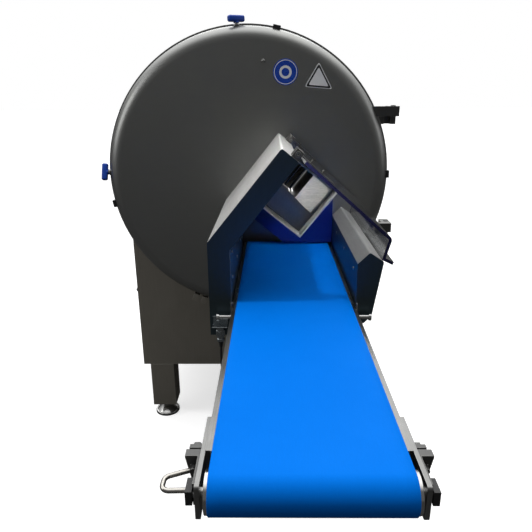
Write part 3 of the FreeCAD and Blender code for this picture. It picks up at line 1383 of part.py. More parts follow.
KNOB_LEFT = {
    "clamp_knob_left": lambda: clamp_knob(KNOB_LEFT_ANGLE, 20.0),
}
LID = {
    "infeed_lid": infeed_lid,
}
PUSHER = {
    "pusher_plate": pusher_plate,
    "pusher_carriage": pusher_carriage,
}
BODIES = {
    "machine": MACHINE,
    "blade_rotor": BLADE_ROTOR,
    "motor_rotor": MOTOR_ROTOR,
    "cover": COVER,
    "flap": FLAP,
    "drive_roller_body": DRIVE_ROLLER,
    "take_up": TAKE_UP_SLIDE,
    "front_roller_body": FRONT_ROLLER,
    "knob_top": KNOB_TOP,
    "knob_left": KNOB_LEFT,
    "lid": LID,
    "pusher": PUSHER,
}


def place(shape):
    """Moves a piece from the design axes to the row frame."""
    moved = shape.copy()
    moved.translate(vec(-ORIGIN[0], -ORIGIN[1], -ORIGIN[2]))
    return moved


def main():
    os.makedirs("parts", exist_ok=True)
    for pieces in BODIES.values():
        for name, make in pieces.items():
            place(make()).exportStep("parts/" + name + ".step")


if __name__ == "__main__":
    main()
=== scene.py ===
"""Looks of a food portion cutter with a discharge conveyor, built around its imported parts."""

import logging
import math
from dataclasses import dataclass
from enum import Enum

import bmesh
import bpy
from mathutils import Matrix, Vector


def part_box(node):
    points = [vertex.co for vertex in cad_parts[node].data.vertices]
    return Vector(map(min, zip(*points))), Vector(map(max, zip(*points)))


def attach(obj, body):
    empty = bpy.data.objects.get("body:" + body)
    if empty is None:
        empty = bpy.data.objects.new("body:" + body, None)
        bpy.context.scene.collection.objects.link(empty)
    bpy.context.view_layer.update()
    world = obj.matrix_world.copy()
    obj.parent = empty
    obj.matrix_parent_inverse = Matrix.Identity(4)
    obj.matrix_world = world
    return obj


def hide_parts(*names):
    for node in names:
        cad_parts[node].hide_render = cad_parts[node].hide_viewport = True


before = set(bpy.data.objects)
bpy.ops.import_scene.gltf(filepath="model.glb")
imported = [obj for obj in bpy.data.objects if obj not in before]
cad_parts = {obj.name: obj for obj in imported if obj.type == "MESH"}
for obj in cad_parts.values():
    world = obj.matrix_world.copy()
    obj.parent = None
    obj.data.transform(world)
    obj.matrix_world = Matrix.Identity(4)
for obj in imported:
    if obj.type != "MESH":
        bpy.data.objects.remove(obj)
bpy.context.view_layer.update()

logging.basicConfig(level=logging.INFO, format="%(message)s")
log = logging.getLogger("cutter")

MM = 0.001
X_AXIS, Y_AXIS, Z_AXIS = Vector((1.0, 0.0, 0.0)), Vector((0.0, 1.0, 0.0)), Vector((0.0, 0.0, 1.0))
FACE_OFFSET_MM = 90.4  # row frame's y of the cover's front face
BLADE_AXIS_MM = 1074.0
BELT_MID_MM = 143.2
WORN_HIGHLIT_EDGES = "worn_highlit_edge"  # face attribute of broken edges, which take edge abrasion and painted edge highlights

Point = tuple[float, float, float]
Colour = tuple[float, float, float]
Profile = list[tuple[float, float]]
Ring = list[bmesh.types.BMVert]


def at(x: float, y: float, z: float) -> Vector:
    """Turns design millimetres (y from the cover's face) into a point of the row frame."""
    return Vector((x * MM, (y + FACE_OFFSET_MM) * MM, z * MM))


def rim(angle: float, radius: float, y: float) -> Vector:
    """A point at an angle in degrees round the blade axis, in the row frame."""
    turn = math.radians(angle)
    return at(radius * math.cos(turn), y, BLADE_AXIS_MM + radius * math.sin(turn))


def outwards(angle: float) -> Vector:
    """Direction away from the blade axis at an angle in degrees."""
    turn = math.radians(angle)
    return Vector((math.cos(turn), 0.0, math.sin(turn)))


class Body(Enum):
    """Bodies of the machine that move apart from each other."""

    MACHINE = "machine"
    COVER = "cover"
    FLAP = "flap"
    BLADE = "blade_rotor"
    MOTOR = "motor_rotor"
    DRIVE_ROLLER = "drive_roller_body"
    TAKE_UP = "take_up"
    FRONT_ROLLER = "front_roller_body"
    KNOB_TOP = "knob_top"
    KNOB_LEFT = "knob_left"
    LID = "lid"
    PUSHER = "pusher"


class Slot(Enum):
    """Material slots that the finishes are sorted into."""

    STAINLESS = "stainless"
    BRIGHT = "bright_steel"
    FASTENER = "fasteners"
    BLADE = "blade_steel"
    BELT = "blue_belt"
    BLUE = "blue_plastic"
    KNOB = "knob_plastic"
    CLEAR = "clear_sheet"
    BLACK = "black_plastic"
    WHITE = "white_plastic"
    SIGN = "sign_plate"
    SEAL = "seal_rubber"
    DRIVE = "drive_rubber"
    MOTOR = "motor_paint"
    CABLE = "cable_jacket"


@dataclass(frozen=True)
class Finish:
    """A surface finish.

    Attributes:
        name: Material name.
        slot: Slot that it belongs to; not used.
        colour: Main colour, linear.
        second: Colour of the cloudy variation, linear.
        metallic: 1 for bare metal.
        roughness: Mean roughness.
        spread: Change of roughness from wiping marks.
        grain: Stretch of the grain along x, y and z, in lines per metre.
        depth: Strength of the grain's bump.
        streak: Share of the grain in the colour.
        worn: Colour of abraded edges and of the painted edge highlight, linear.
        wear: Strength of the edge abrasion and painted edge highlight.
        coat: Weight of a clear coat.
        transmission: 1 for clear sheet.
        specular: Specular level of a finish that isn't metal.
    """

    name: str
    slot: Slot
    colour: Colour
    second: Colour
    metallic: float = 1.0
    roughness: float = 0.32
    spread: float = 0.1
    grain: Point = (20.0, 900.0, 900.0)
    depth: float = 0.08
    streak: float = 0.12
    worn: Colour = (0.62, 0.62, 0.6)
    wear: float = 0.35
    coat: float = 0.0
    transmission: float = 0.0
    specular: float = 0.5


def even(lines: float) -> Point:
    """The same grain along x, y and z."""
    return (lines, lines, lines)


def plastic(name: str, slot: Slot, colour: Colour, second: Colour, **values: float | Colour) -> Finish:
    """A finish that isn't metal; the other values are as in Finish."""
    return Finish(name, slot, colour, second, metallic=0.0, **values)


class Finishes(Enum):
    """Every finish on the machine."""

    DRUM = Finish("drum_satin_steel", Slot.STAINLESS, (0.35, 0.355, 0.34), (0.32, 0.325, 0.325),
                  roughness=0.4, spread=0.04, grain=(16.0, 500.0, 1100.0), depth=0.02, streak=0.05)
    HOOD = Finish("hood_brushed_steel", Slot.STAINLESS, (0.66, 0.66, 0.64), (0.58, 0.58, 0.57),
                  metallic=0.45, roughness=0.5, spread=0.05, grain=(900.0, 22.0, 500.0), depth=0.04,
                  streak=0.14, worn=(0.8, 0.8, 0.78), wear=0.6)
    GUARD = Finish("guard_brushed_steel", Slot.STAINLESS, (0.36, 0.36, 0.35), (0.28, 0.28, 0.275),
                   metallic=0.7, roughness=0.46, spread=0.05, grain=(900.0, 18.0, 500.0), depth=0.05,
                   streak=0.2, worn=(0.8, 0.8, 0.78), wear=0.8)
    # Painted shade: a dark bluish copy of the hood steel for faces turned forwards or to the belt,
    # standing in for their shade and the belt's blue reflection.
    FRONT = Finish("front_painted_shade_steel", Slot.STAINLESS, (0.085, 0.12, 0.138), (0.078, 0.11, 0.127),
                   roughness=0.46, spread=0.02, grain=(500.0, 500.0, 24.0), depth=0.03, streak=0.08,
                   worn=(0.5, 0.52, 0.54), wear=0.5)
    SHEET_UP = Finish("upright_brushed_steel", Slot.STAINLESS, (0.53, 0.5, 0.435), (0.46, 0.43, 0.37),
                      metallic=0.85, roughness=0.45, spread=0.06, grain=(900.0, 900.0, 18.0),
                      depth=0.05, streak=0.1)
    SHEET_LONG = Finish("long_brushed_steel", Slot.STAINLESS, (0.3, 0.3, 0.295), (0.24, 0.24, 0.235),
                        grain=(900.0, 14.0, 900.0), streak=0.15)
    CHUTE = Finish("chute_polished_steel", Slot.STAINLESS, (0.8, 0.79, 0.75), (0.7, 0.69, 0.66),
                   metallic=0.3, roughness=0.5, spread=0.08, grain=(700.0, 18.0, 700.0), depth=0.05,
                   streak=0.25)
    CARRIER = Finish("carrier_dark_steel", Slot.STAINLESS, (0.17, 0.17, 0.165), (0.12, 0.12, 0.12),
                     roughness=0.42, spread=0.06, grain=(900.0, 20.0, 900.0), depth=0.06, streak=0.15,
                     worn=(0.5, 0.5, 0.48), wear=0.6)
    HINGE = Finish("hinge_turned_steel", Slot.BRIGHT, (0.32, 0.31, 0.29), (0.22, 0.215, 0.2),
                   roughness=0.34, grain=even(500.0), streak=0.25, worn=(0.8, 0.8, 0.78), wear=0.9)
    GUIDE = Finish("guide_ground_steel", Slot.BRIGHT, (0.8, 0.78, 0.72), (0.66, 0.64, 0.6),
                   metallic=0.35, roughness=0.45, grain=(60.0, 60.0, 700.0), depth=0.15, streak=0.5)
    BRIGHT = Finish("turned_bright_steel", Slot.BRIGHT, (0.64, 0.64, 0.63), (0.54, 0.54, 0.53),
                    roughness=0.2, grain=(1200.0, 160.0, 160.0), depth=0.05, streak=0.1)
    ROD = Finish("handle_rod_steel", Slot.BRIGHT, (0.56, 0.54, 0.5), (0.42, 0.4, 0.37), roughness=0.26,
                 grain=(260.0, 260.0, 900.0), depth=0.06, streak=0.2)
    FASTENER = Finish("fastener_steel", Slot.FASTENER, (0.52, 0.52, 0.51), (0.38, 0.38, 0.37),
                      roughness=0.27, grain=even(900.0), depth=0.06, streak=0.18)
    BLADE = Finish("blade_ground_steel", Slot.BLADE, (0.3, 0.3, 0.3), (0.24, 0.24, 0.245),
                   roughness=0.42, grain=(700.0, 700.0, 90.0), depth=0.06, streak=0.18,
                   worn=(0.85, 0.85, 0.82), wear=0.9)
    BELT = plastic("belt_blue_polyurethane", Slot.BELT, (0.0, 0.172, 0.74), (0.0, 0.16, 0.7),
                   roughness=0.5, spread=0.08, grain=(2600.0, 180.0, 300.0), depth=0.22, streak=0.1,
                   worn=(0.05, 0.3, 0.85), wear=0.2, specular=0.02)
    # Painted shade: the plate's navy is darkened further to stand in for the shade it sits in.
    BLUE = plastic("deflector_blue_painted_shade", Slot.BLUE, (0.001, 0.006, 0.095), (0.001, 0.005, 0.08),
                   roughness=0.3, spread=0.06, grain=even(260.0), depth=0.04, streak=0.08,
                   worn=(0.07, 0.14, 0.62), wear=0.9)
    KNOB = plastic("knob_moulded_plastic", Slot.KNOB, (0.006, 0.06, 0.42), (0.005, 0.05, 0.36),
                   roughness=0.34, spread=0.06, grain=even(700.0), depth=0.1, streak=0.08,
                   worn=(0.1, 0.3, 0.8), wear=0.4)
    CLEAR = plastic("flap_clear_sheet", Slot.CLEAR, (0.93, 0.95, 0.96), (0.9, 0.93, 0.95),
                    roughness=0.035, spread=0.03, grain=even(60.0), depth=0.015, streak=0.02,
                    worn=(0.9, 0.93, 0.96), wear=0.0, transmission=1.0)
    # Painted refraction: the clear sheet's end faces get a dark blue that stands in for the belt seen
    # through the sheet's thickness.
    CLEAR_EDGE_REFRACTION = plastic("flap_edge_painted_refraction", Slot.CLEAR, (0.012, 0.012, 0.045), (0.008, 0.008, 0.035),
                         roughness=0.24, spread=0.08, grain=(40.0, 900.0, 40.0), depth=0.05, streak=0.1,
                         worn=(0.1, 0.1, 0.22), wear=0.3)
    BLACK = plastic("moulded_black_plastic", Slot.BLACK, (0.012, 0.012, 0.013), (0.02, 0.02, 0.02),
                    roughness=0.46, spread=0.08, grain=even(800.0), depth=0.16, streak=0.1,
                    worn=(0.06, 0.06, 0.06), wear=0.5)
    PLUG = Finish("connector_nickel_shell", Slot.BLACK, (0.4, 0.44, 0.46), (0.3, 0.33, 0.35),
                  roughness=0.28, grain=(500.0, 500.0, 1500.0), depth=0.06, streak=0.15)
    WHITE = plastic("pusher_white_plastic", Slot.WHITE, (0.82, 0.82, 0.79), (0.74, 0.74, 0.71),
                    roughness=0.45, grain=even(500.0), streak=0.06, worn=(0.86, 0.86, 0.84), wear=0.3)
    SIGN_BLUE = plastic("sign_blue_film", Slot.SIGN, (0.008, 0.055, 0.4), (0.006, 0.045, 0.34),
                        roughness=0.3, grain=even(300.0), depth=0.04, streak=0.05,
                        worn=(0.05, 0.15, 0.5), wear=0.3)
    SIGN_WHITE = plastic("sign_white_film", Slot.SIGN, (0.78, 0.79, 0.8), (0.7, 0.71, 0.73),
                         grain=even(300.0), depth=0.04, streak=0.05, worn=(0.8, 0.8, 0.8), wear=0.2)
    SIGN_DARK = plastic("sign_dark_film", Slot.SIGN, (0.03, 0.03, 0.035), (0.02, 0.02, 0.022),
                        roughness=0.3, grain=even(300.0), depth=0.04, streak=0.05, worn=(0.1, 0.1, 0.1),
                        wear=0.2)
    SEAL = plastic("seal_black_rubber", Slot.SEAL, (0.02, 0.02, 0.02), (0.03, 0.03, 0.03),
                   roughness=0.6, grain=even(900.0), depth=0.15, streak=0.1, worn=(0.07, 0.07, 0.07),
                   wear=0.4)
    DRIVE = plastic("drive_belt_rubber", Slot.DRIVE, (0.018, 0.018, 0.018), (0.028, 0.028, 0.028),
                    roughness=0.65, grain=(60.0, 2400.0, 60.0), depth=0.3, streak=0.2,
                    worn=(0.08, 0.08, 0.08), wear=0.5)
    MOTOR = plastic("motor_grey_paint", Slot.MOTOR, (0.1, 0.11, 0.13), (0.08, 0.09, 0.11),
                    roughness=0.42, grain=even(500.0), depth=0.2, streak=0.08, worn=(0.3, 0.3, 0.3),
                    wear=0.5, coat=0.3)
    CABLE = plastic("cable_rubber_jacket", Slot.CABLE, (0.045, 0.04, 0.035), (0.03, 0.027, 0.025),
                    roughness=0.4, spread=0.08, grain=even(600.0), depth=0.12, streak=0.15,
                    worn=(0.1, 0.1, 0.1), wear=0.2)


@dataclass
class Wiring:
    """Adds and joins nodes in one node tree."""

    tree: bpy.types.NodeTree

    def add(self, kind: str, values: dict | None = None, **settings: object) -> bpy.types.Node:
        """Adds a node.

        Args:
            kind: Blender's name of the node type.
            values: Input name or index to a constant or to the output socket that feeds it.
            settings: Properties of the node.

        Returns:
            The new node.
        """
        made = self.tree.nodes.new(kind)
        for key, value in settings.items():
            setattr(made, key, value)
        for key, value in (values or {}).items():
            self.feed(made.inputs[key], value)
        return made

    def feed(self, socket: bpy.types.NodeSocket, value: object) -> None:
        """Joins an output socket to an input, or sets the input itself to a constant."""
        if isinstance(value, bpy.types.NodeSocket):
            self.tree.links.new(value, socket)
        else:
            socket.default_value = value

    def find(self, kind: str) -> bpy.types.Node:
        """Returns the node of a type that the tree came with."""
        return next(node for node in self.tree.nodes if node.type == kind)

    def mix(self, share: object, first: object, second: object) -> bpy.types.NodeSocket:
        """Mixes two colours by a mask and returns the result's socket."""
        made = self.add("ShaderNodeMix", {0: share, 6: first, 7: second}, data_type="RGBA")
        return made.outputs[2]

    def math(self, operation: str, first: object, second: object = 0.0) -> bpy.types.NodeSocket:
        """Adds a Math node and returns its output."""
        return self.add("ShaderNodeMath", {0: first, 1: second}, operation=operation).outputs[0]


class EffectGroup:
    """A shader node group with named inputs and outputs."""

    def __init__(self, name: str, inputs: dict[str, float | Point], outputs: tuple[str, ...]) -> None:
        """Makes the group's sockets.

        Args:
            name: The group's name.
            inputs: Input names and their values.
            outputs: Names of the values that the group puts out.
        """
        self.tree = bpy.data.node_groups.new(name, "ShaderNodeTree")
        for label, value in inputs.items():
            kind = "NodeSocketVector" if isinstance(value, tuple) else "NodeSocketFloat"
            socket = self.tree.interface.new_socket(label, in_out="INPUT", socket_type=kind)
            socket.default_value = value
        for label in outputs:
            self.tree.interface.new_socket(label, in_out="OUTPUT", socket_type="NodeSocketFloat")
        self.wiring = Wiring(self.tree)
        self.given = self.tree.nodes.new("NodeGroupInput").outputs
        self.result = self.tree.nodes.new("NodeGroupOutput").inputs

    def give(self, label: str, socket: bpy.types.NodeSocket) -> None:
        """Joins a value to one of the group's outputs."""
        self.tree.links.new(socket, self.result[label])


def grain_group() -> bpy.types.NodeTree:
    """Brushing lines: a height for the bump and a mask for the colour."""
    group = EffectGroup("brushing", {"Stretch": (20.0, 900.0, 900.0)}, ("Height", "Mask"))
    wire = group.wiring
    place = wire.add("ShaderNodeTexCoord").outputs["Object"]
    lines = wire.add("ShaderNodeVectorMath", {0: place, 1: group.given["Stretch"]},
                     operation="MULTIPLY").outputs[0]
    fine = wire.add("ShaderNodeTexNoise",
                    {"Vector": lines, "Scale": 1.0, "Detail": 3.0, "Roughness": 0.65})
    broad = wire.add("ShaderNodeTexNoise",
                     {"Vector": lines, "Scale": 0.23, "Detail": 2.0, "Roughness": 0.5})
    total = wire.math("ADD", wire.math("MULTIPLY", fine.outputs[0], 0.7),
                      wire.math("MULTIPLY", broad.outputs[0], 0.3))
    group.give("Height", total)
    mask = wire.add("ShaderNodeMapRange", {"Value": total, "From Min": 0.36, "From Max": 0.64})
    group.give("Mask", mask.outputs[0])
    return group.tree


def cloud_group() -> bpy.types.NodeTree:
    """Wiping marks and faint clouds, from 0 to 1."""
    group = EffectGroup("wiping_marks", {"Scale": 4.0}, ("Mask",))
    wire = group.wiring
    place = wire.add("ShaderNodeTexCoord").outputs["Object"]
    clouds = wire.add("ShaderNodeTexNoise", {"Vector": place, "Scale": group.given["Scale"],
                                             "Detail": 4.0, "Roughness": 0.6, "Distortion": 0.6})
    mask = wire.add("ShaderNodeMapRange",
                    {"Value": clouds.outputs[0], "From Min": 0.3, "From Max": 0.7})
    group.give("Mask", mask.outputs[0])
    return group.tree


def wear_group() -> bpy.types.NodeTree:
    """Abraded edges with painted edge highlights, where a piece's attribute marks them, broken up by
    noise.
    """
    group = EffectGroup("edge_wear", {"Amount": 0.3}, ("Mask",))
    wire = group.wiring
    place = wire.add("ShaderNodeTexCoord").outputs["Object"]
    edge = wire.add("ShaderNodeAttribute", {}, attribute_name=WORN_HIGHLIT_EDGES)
    noise = wire.add("ShaderNodeTexNoise", {"Vector": place, "Scale": 90.0, "Detail": 3.0})
    broken = wire.add("ShaderNodeMapRange",
                      {"Value": noise.outputs[0], "From Min": 0.25, "From Max": 0.45})
    share = wire.math("MULTIPLY", edge.outputs["Fac"], broken.outputs[0])
    group.give("Mask", wire.math("MULTIPLY", share, group.given["Amount"]))
    return group.tree


class FinishShop:
    """Makes each finish's material once."""

    CLOUD_SCALE = 4.0
    CLOUD_SHARE = 0.7  # of the change in roughness; the grain has the rest
    LINE_SHADE = 0.35  # colour in the grain's lines, as a share of the main one
    LEAST_ROUGHNESS = 0.02
    GRAIN_HEIGHT = 0.0004
    SHEET_IOR = 1.49
    SHADOW_PASS = 0.97

    def __init__(self) -> None:
        """Builds the shared effects."""
        self.brushing = grain_group()
        self.clouds = cloud_group()
        self.wear = wear_group()
        self.made: dict[str, bpy.types.Material] = {}

    def get(self, choice: Finishes) -> bpy.types.Material:
        """Returns the material of a finish, and builds it the first time."""
        finish = choice.value
        if finish.name not in self.made:
            self.made[finish.name] = self.build(finish)
        return self.made[finish.name]

    def build(self, finish: Finish) -> bpy.types.Material:
        """Builds a finish: clouds, brushing, abraded edges with painted edge highlights and bump on a
        Principled shader.

        Args:
            finish: The finish's values.

        Returns:
            The material.
        """
        material = bpy.data.materials.new(finish.name)
        material.use_nodes = True
        material.diffuse_color = (*finish.colour, 1.0)
        wire = Wiring(material.node_tree)
        shader = wire.find("BSDF_PRINCIPLED")
        grain = wire.add("ShaderNodeGroup", {"Stretch": finish.grain}, node_tree=self.brushing).outputs
        cloud = wire.add("ShaderNodeGroup", {"Scale": self.CLOUD_SCALE}, node_tree=self.clouds).outputs
        wear = wire.add("ShaderNodeGroup", {"Amount": finish.wear}, node_tree=self.wear).outputs
        shade = (*(part * self.LINE_SHADE for part in finish.colour), 1.0)
        tint = wire.mix(cloud["Mask"], (*finish.colour, 1.0), (*finish.second, 1.0))
        lined = wire.mix(wire.math("MULTIPLY", grain["Mask"], finish.streak), tint, shade)
        marks = wire.math("ADD", wire.math("MULTIPLY", cloud["Mask"], self.CLOUD_SHARE),
                          wire.math("MULTIPLY", grain["Mask"], 1.0 - self.CLOUD_SHARE))
        rough = wire.add("ShaderNodeMapRange", {
            "Value": marks, "To Min": max(finish.roughness - finish.spread, self.LEAST_ROUGHNESS),
            "To Max": finish.roughness + finish.spread})
        bump = wire.add("ShaderNodeBump", {"Strength": finish.depth, "Distance": self.GRAIN_HEIGHT,
                                           "Height": grain["Height"]})
        # Lighter colour on broken edges: part edge abrasion, part painted edge highlight.
        values = {"Base Color": wire.mix(wear["Mask"], lined, (*finish.worn, 1.0)),
                  "Roughness": rough.outputs[0], "Normal": bump.outputs[0],
                  "Metallic": finish.metallic, "Coat Weight": finish.coat,
                  "Transmission Weight": finish.transmission, "IOR": self.SHEET_IOR,
                  "Specular IOR Level": finish.specular}
        if finish.transmission:
            rays = wire.add("ShaderNodeLightPath").outputs["Is Shadow Ray"]
            values["Alpha"] = wire.math("SUBTRACT", 1.0, wire.math("MULTIPLY", rays, self.SHADOW_PASS))
        for label, value in values.items():
            wire.feed(shader.inputs[label], value)
        return material


class Shape:
    """A mesh under construction, in the row frame."""

    def __init__(self) -> None:
        """Starts with an empty mesh."""
        self.mesh = bmesh.new()

    def lathe(self, profile: Profile, centre: Vector, axis: Vector, steps: int = 64, paint: int = 0,
              ribs: int = 0, rib: float = 0.0) -> None:
        """Turns a profile of (radius, height) in millimetres round an axis.

        Args:
            profile: Points from one end of the axis to the other; a radius of 0 closes an end.
            centre: Where height 0 lies.
            axis: Direction of the height.
            steps: Faces round the axis.
            paint: Material index of the faces.
            ribs: Number of flutes round the piece, or 0.
            rib: Depth of the flutes in millimetres.
        """
        axis = axis.normalized()
        side = axis.orthogonal().normalized()
        up = axis.cross(side)
        rings = []
        for radius, height in profile:
            middle = centre + axis * height * MM
            if radius <= 0.0:
                rings.append([self.mesh.verts.new(middle)])
                continue
            ring = []
            for index in range(steps):
                turn = 2 * math.pi * index / steps
                depth = rib * (0.5 + 0.5 * math.cos(turn * ribs)) if ribs else 0.0
                reach = (radius - depth) * MM
                way = side * math.cos(turn) + up * math.sin(turn)
                ring.append(self.mesh.verts.new(middle + way * reach))
            rings.append(ring)
        for low, high in zip(rings, rings[1:]):
            self.bridge(low, high, paint)

    def bridge(self, low: Ring, high: Ring, paint: int = 0) -> None:
        """Joins two closed rings of vertices with faces; a ring of one vertex closes to a fan."""
        steps = max(len(low), len(high))
        for index in range(steps):
            after = (index + 1) % steps
            corners = dict.fromkeys([low[index % len(low)], low[after % len(low)],
                                     high[after % len(high)], high[index % len(high)]])
            if len(corners) > 2:
                self.mesh.faces.new(list(corners)).material_index = paint

    def extrude(self, outline: list[Vector], travel: Vector, paint: int = 0) -> None:
        """Extrudes a flat closed outline along a vector."""
        low = [self.mesh.verts.new(point) for point in outline]
        high = [self.mesh.verts.new(point + travel) for point in outline]
        self.mesh.faces.new(low).material_index = paint
        self.mesh.faces.new(high[::-1]).material_index = paint
        self.bridge(high, low, paint)

    def round_bar(self, centre: Vector, axes: tuple[Vector, Vector, Vector], size: Point,
                  edge: float) -> None:
        """Adds a bar with rounded edges.

        Args:
            centre: Its middle.
            axes: Directions of its three sizes.
            size: Sizes in millimetres.
            edge: Radius of its edges in millimetres.
        """
        turn = Matrix([axes[0], axes[1], axes[2]]).transposed().to_4x4()
        place = Matrix.Translation(centre) @ turn @ Matrix.Diagonal((*(s * MM for s in size), 1.0))
        made = bmesh.ops.create_cube(self.mesh, size=1.0, matrix=place)["verts"]
        edges = list({e for v in made for e in v.link_edges})
        bmesh.ops.bevel(self.mesh, geom=edges, offset=edge * MM, segments=6, profile=0.5,
                        affect="EDGES")

    def done(self, name: str, paints: list[bpy.types.Material], sharp: float = 35.0,
             recalc: bool = True) -> bpy.types.Object:
        """Turns the shape into an object.

        Args:
            name: The object's name.
            paints: Its materials.
            sharp: Angle in degrees above which an edge stays sharp.
            recalc: Whether the normals are pointed outwards.

        Returns:
            The linked object.
        """
        if recalc:
            bmesh.ops.recalc_face_normals(self.mesh, faces=self.mesh.faces)
        data = bpy.data.meshes.new(name)
        self.mesh.to_mesh(data)
        self.mesh.free()
        return link_mesh(name, data, paints, sharp)


def link_mesh(name: str, data: bpy.types.Mesh, paints: list[bpy.types.Material],
              sharp: float) -> bpy.types.Object:
    """Links a mesh as an object with smooth faces and sharp edges above an angle."""
    for paint in paints:
        data.materials.append(paint)
    data.shade_smooth()
    data.set_sharp_from_angle(angle=math.radians(sharp))
    made = bpy.data.objects.new(name, data)
    bpy.context.scene.collection.objects.link(made)
    return made


def even_normals(piece: bpy.types.Object) -> None:
    """Weights a piece's normals by its faces, and keeps its sharp edges."""
    piece.modifiers.new("even_normals", "WEIGHTED_NORMAL").keep_sharp = True


def bake(source: bpy.types.Object) -> bpy.types.Mesh:
    """Returns an object's mesh with its modifiers applied."""
    graph = bpy.context.evaluated_depsgraph_get()
    return bpy.data.meshes.new_from_object(source.evaluated_get(graph), depsgraph=graph)


@dataclass
class Workbench:
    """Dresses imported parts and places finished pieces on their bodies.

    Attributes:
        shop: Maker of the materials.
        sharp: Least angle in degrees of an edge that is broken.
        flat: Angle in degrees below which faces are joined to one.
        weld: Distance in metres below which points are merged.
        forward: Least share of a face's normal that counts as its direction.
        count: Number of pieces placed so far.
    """

    shop: FinishShop
    sharp: float = 32.0
    flat: float = 0.4
    weld: float = 0.00001
    forward: float = 0.8
    count: int = 0

    def place(self, piece: bpy.types.Object, body: Body, choice: Finishes,
              *nodes: str) -> bpy.types.Object:
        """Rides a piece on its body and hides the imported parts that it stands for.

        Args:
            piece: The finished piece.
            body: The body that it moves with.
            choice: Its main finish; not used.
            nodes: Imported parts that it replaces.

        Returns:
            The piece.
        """
        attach(piece, body.value)
        if nodes:
            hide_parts(*nodes)
        self.count += 1
        faces = len(piece.data.polygons) if piece.type == "MESH" else 0
        log.info("%3d %-28s on %-18s %6d faces", self.count, piece.name, body.value, faces)
        return piece

    def refine(self, node: str, body: Body, choice: Finishes, edge: float = 0.5,
               steps: int = 2, front: Finishes | None = None) -> bpy.types.Object:
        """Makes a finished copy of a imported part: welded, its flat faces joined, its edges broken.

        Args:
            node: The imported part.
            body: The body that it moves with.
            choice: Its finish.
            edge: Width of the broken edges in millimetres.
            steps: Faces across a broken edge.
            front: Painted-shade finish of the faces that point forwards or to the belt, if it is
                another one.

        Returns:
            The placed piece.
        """
        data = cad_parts[node].data.copy()
        data.materials.clear()
        for name in ("custom_normal", "sharp_edge", "sharp_face"):
            if name in data.attributes:
                data.attributes.remove(data.attributes[name])
        work = bmesh.new()
        work.from_mesh(data)
        bmesh.ops.remove_doubles(work, verts=work.verts, dist=self.weld)
        bmesh.ops.dissolve_limit(work, angle_limit=math.radians(self.flat), verts=work.verts,
                                 edges=work.edges)
        # Index 1 is the painted-shade finish for faces turned forwards or to the belt.
        for face in work.faces:
            face.material_index = int(front is not None and self.turned_to_belt(face))
        marks = work.faces.layers.float.new(WORN_HIGHLIT_EDGES)
        least = math.radians(self.sharp)
        corners = [line for line in work.edges if line.calc_face_angle(0.0) > least]
        broken = bmesh.ops.bevel(work, geom=corners, offset=edge * MM, offset_type="OFFSET",
                                 segments=steps, profile=0.5, affect="EDGES", clamp_overlap=True,
                                 material=-1)
        # Mark the bevel faces for edge abrasion and painted edge highlights.
        for face in broken["faces"]:
            face[marks] = 1.0
        work.to_mesh(data)
        work.free()
        paints = [self.shop.get(finish) for finish in (choice, front) if finish is not None]
        piece = link_mesh(f"{node}_finished", data, paints, self.sharp)
        even_normals(piece)
        return self.place(piece, body, choice, node)

    def turned_to_belt(self, face: bmesh.types.BMFace) -> bool:
        """Whether a face points forwards, or from the right-hand side to the belt, and so takes painted
        shade.
        """
        inwards = face.normal.x < -self.forward and face.calc_center_median().x > BELT_MID_MM * MM
        return inwards or face.normal.y < -self.forward


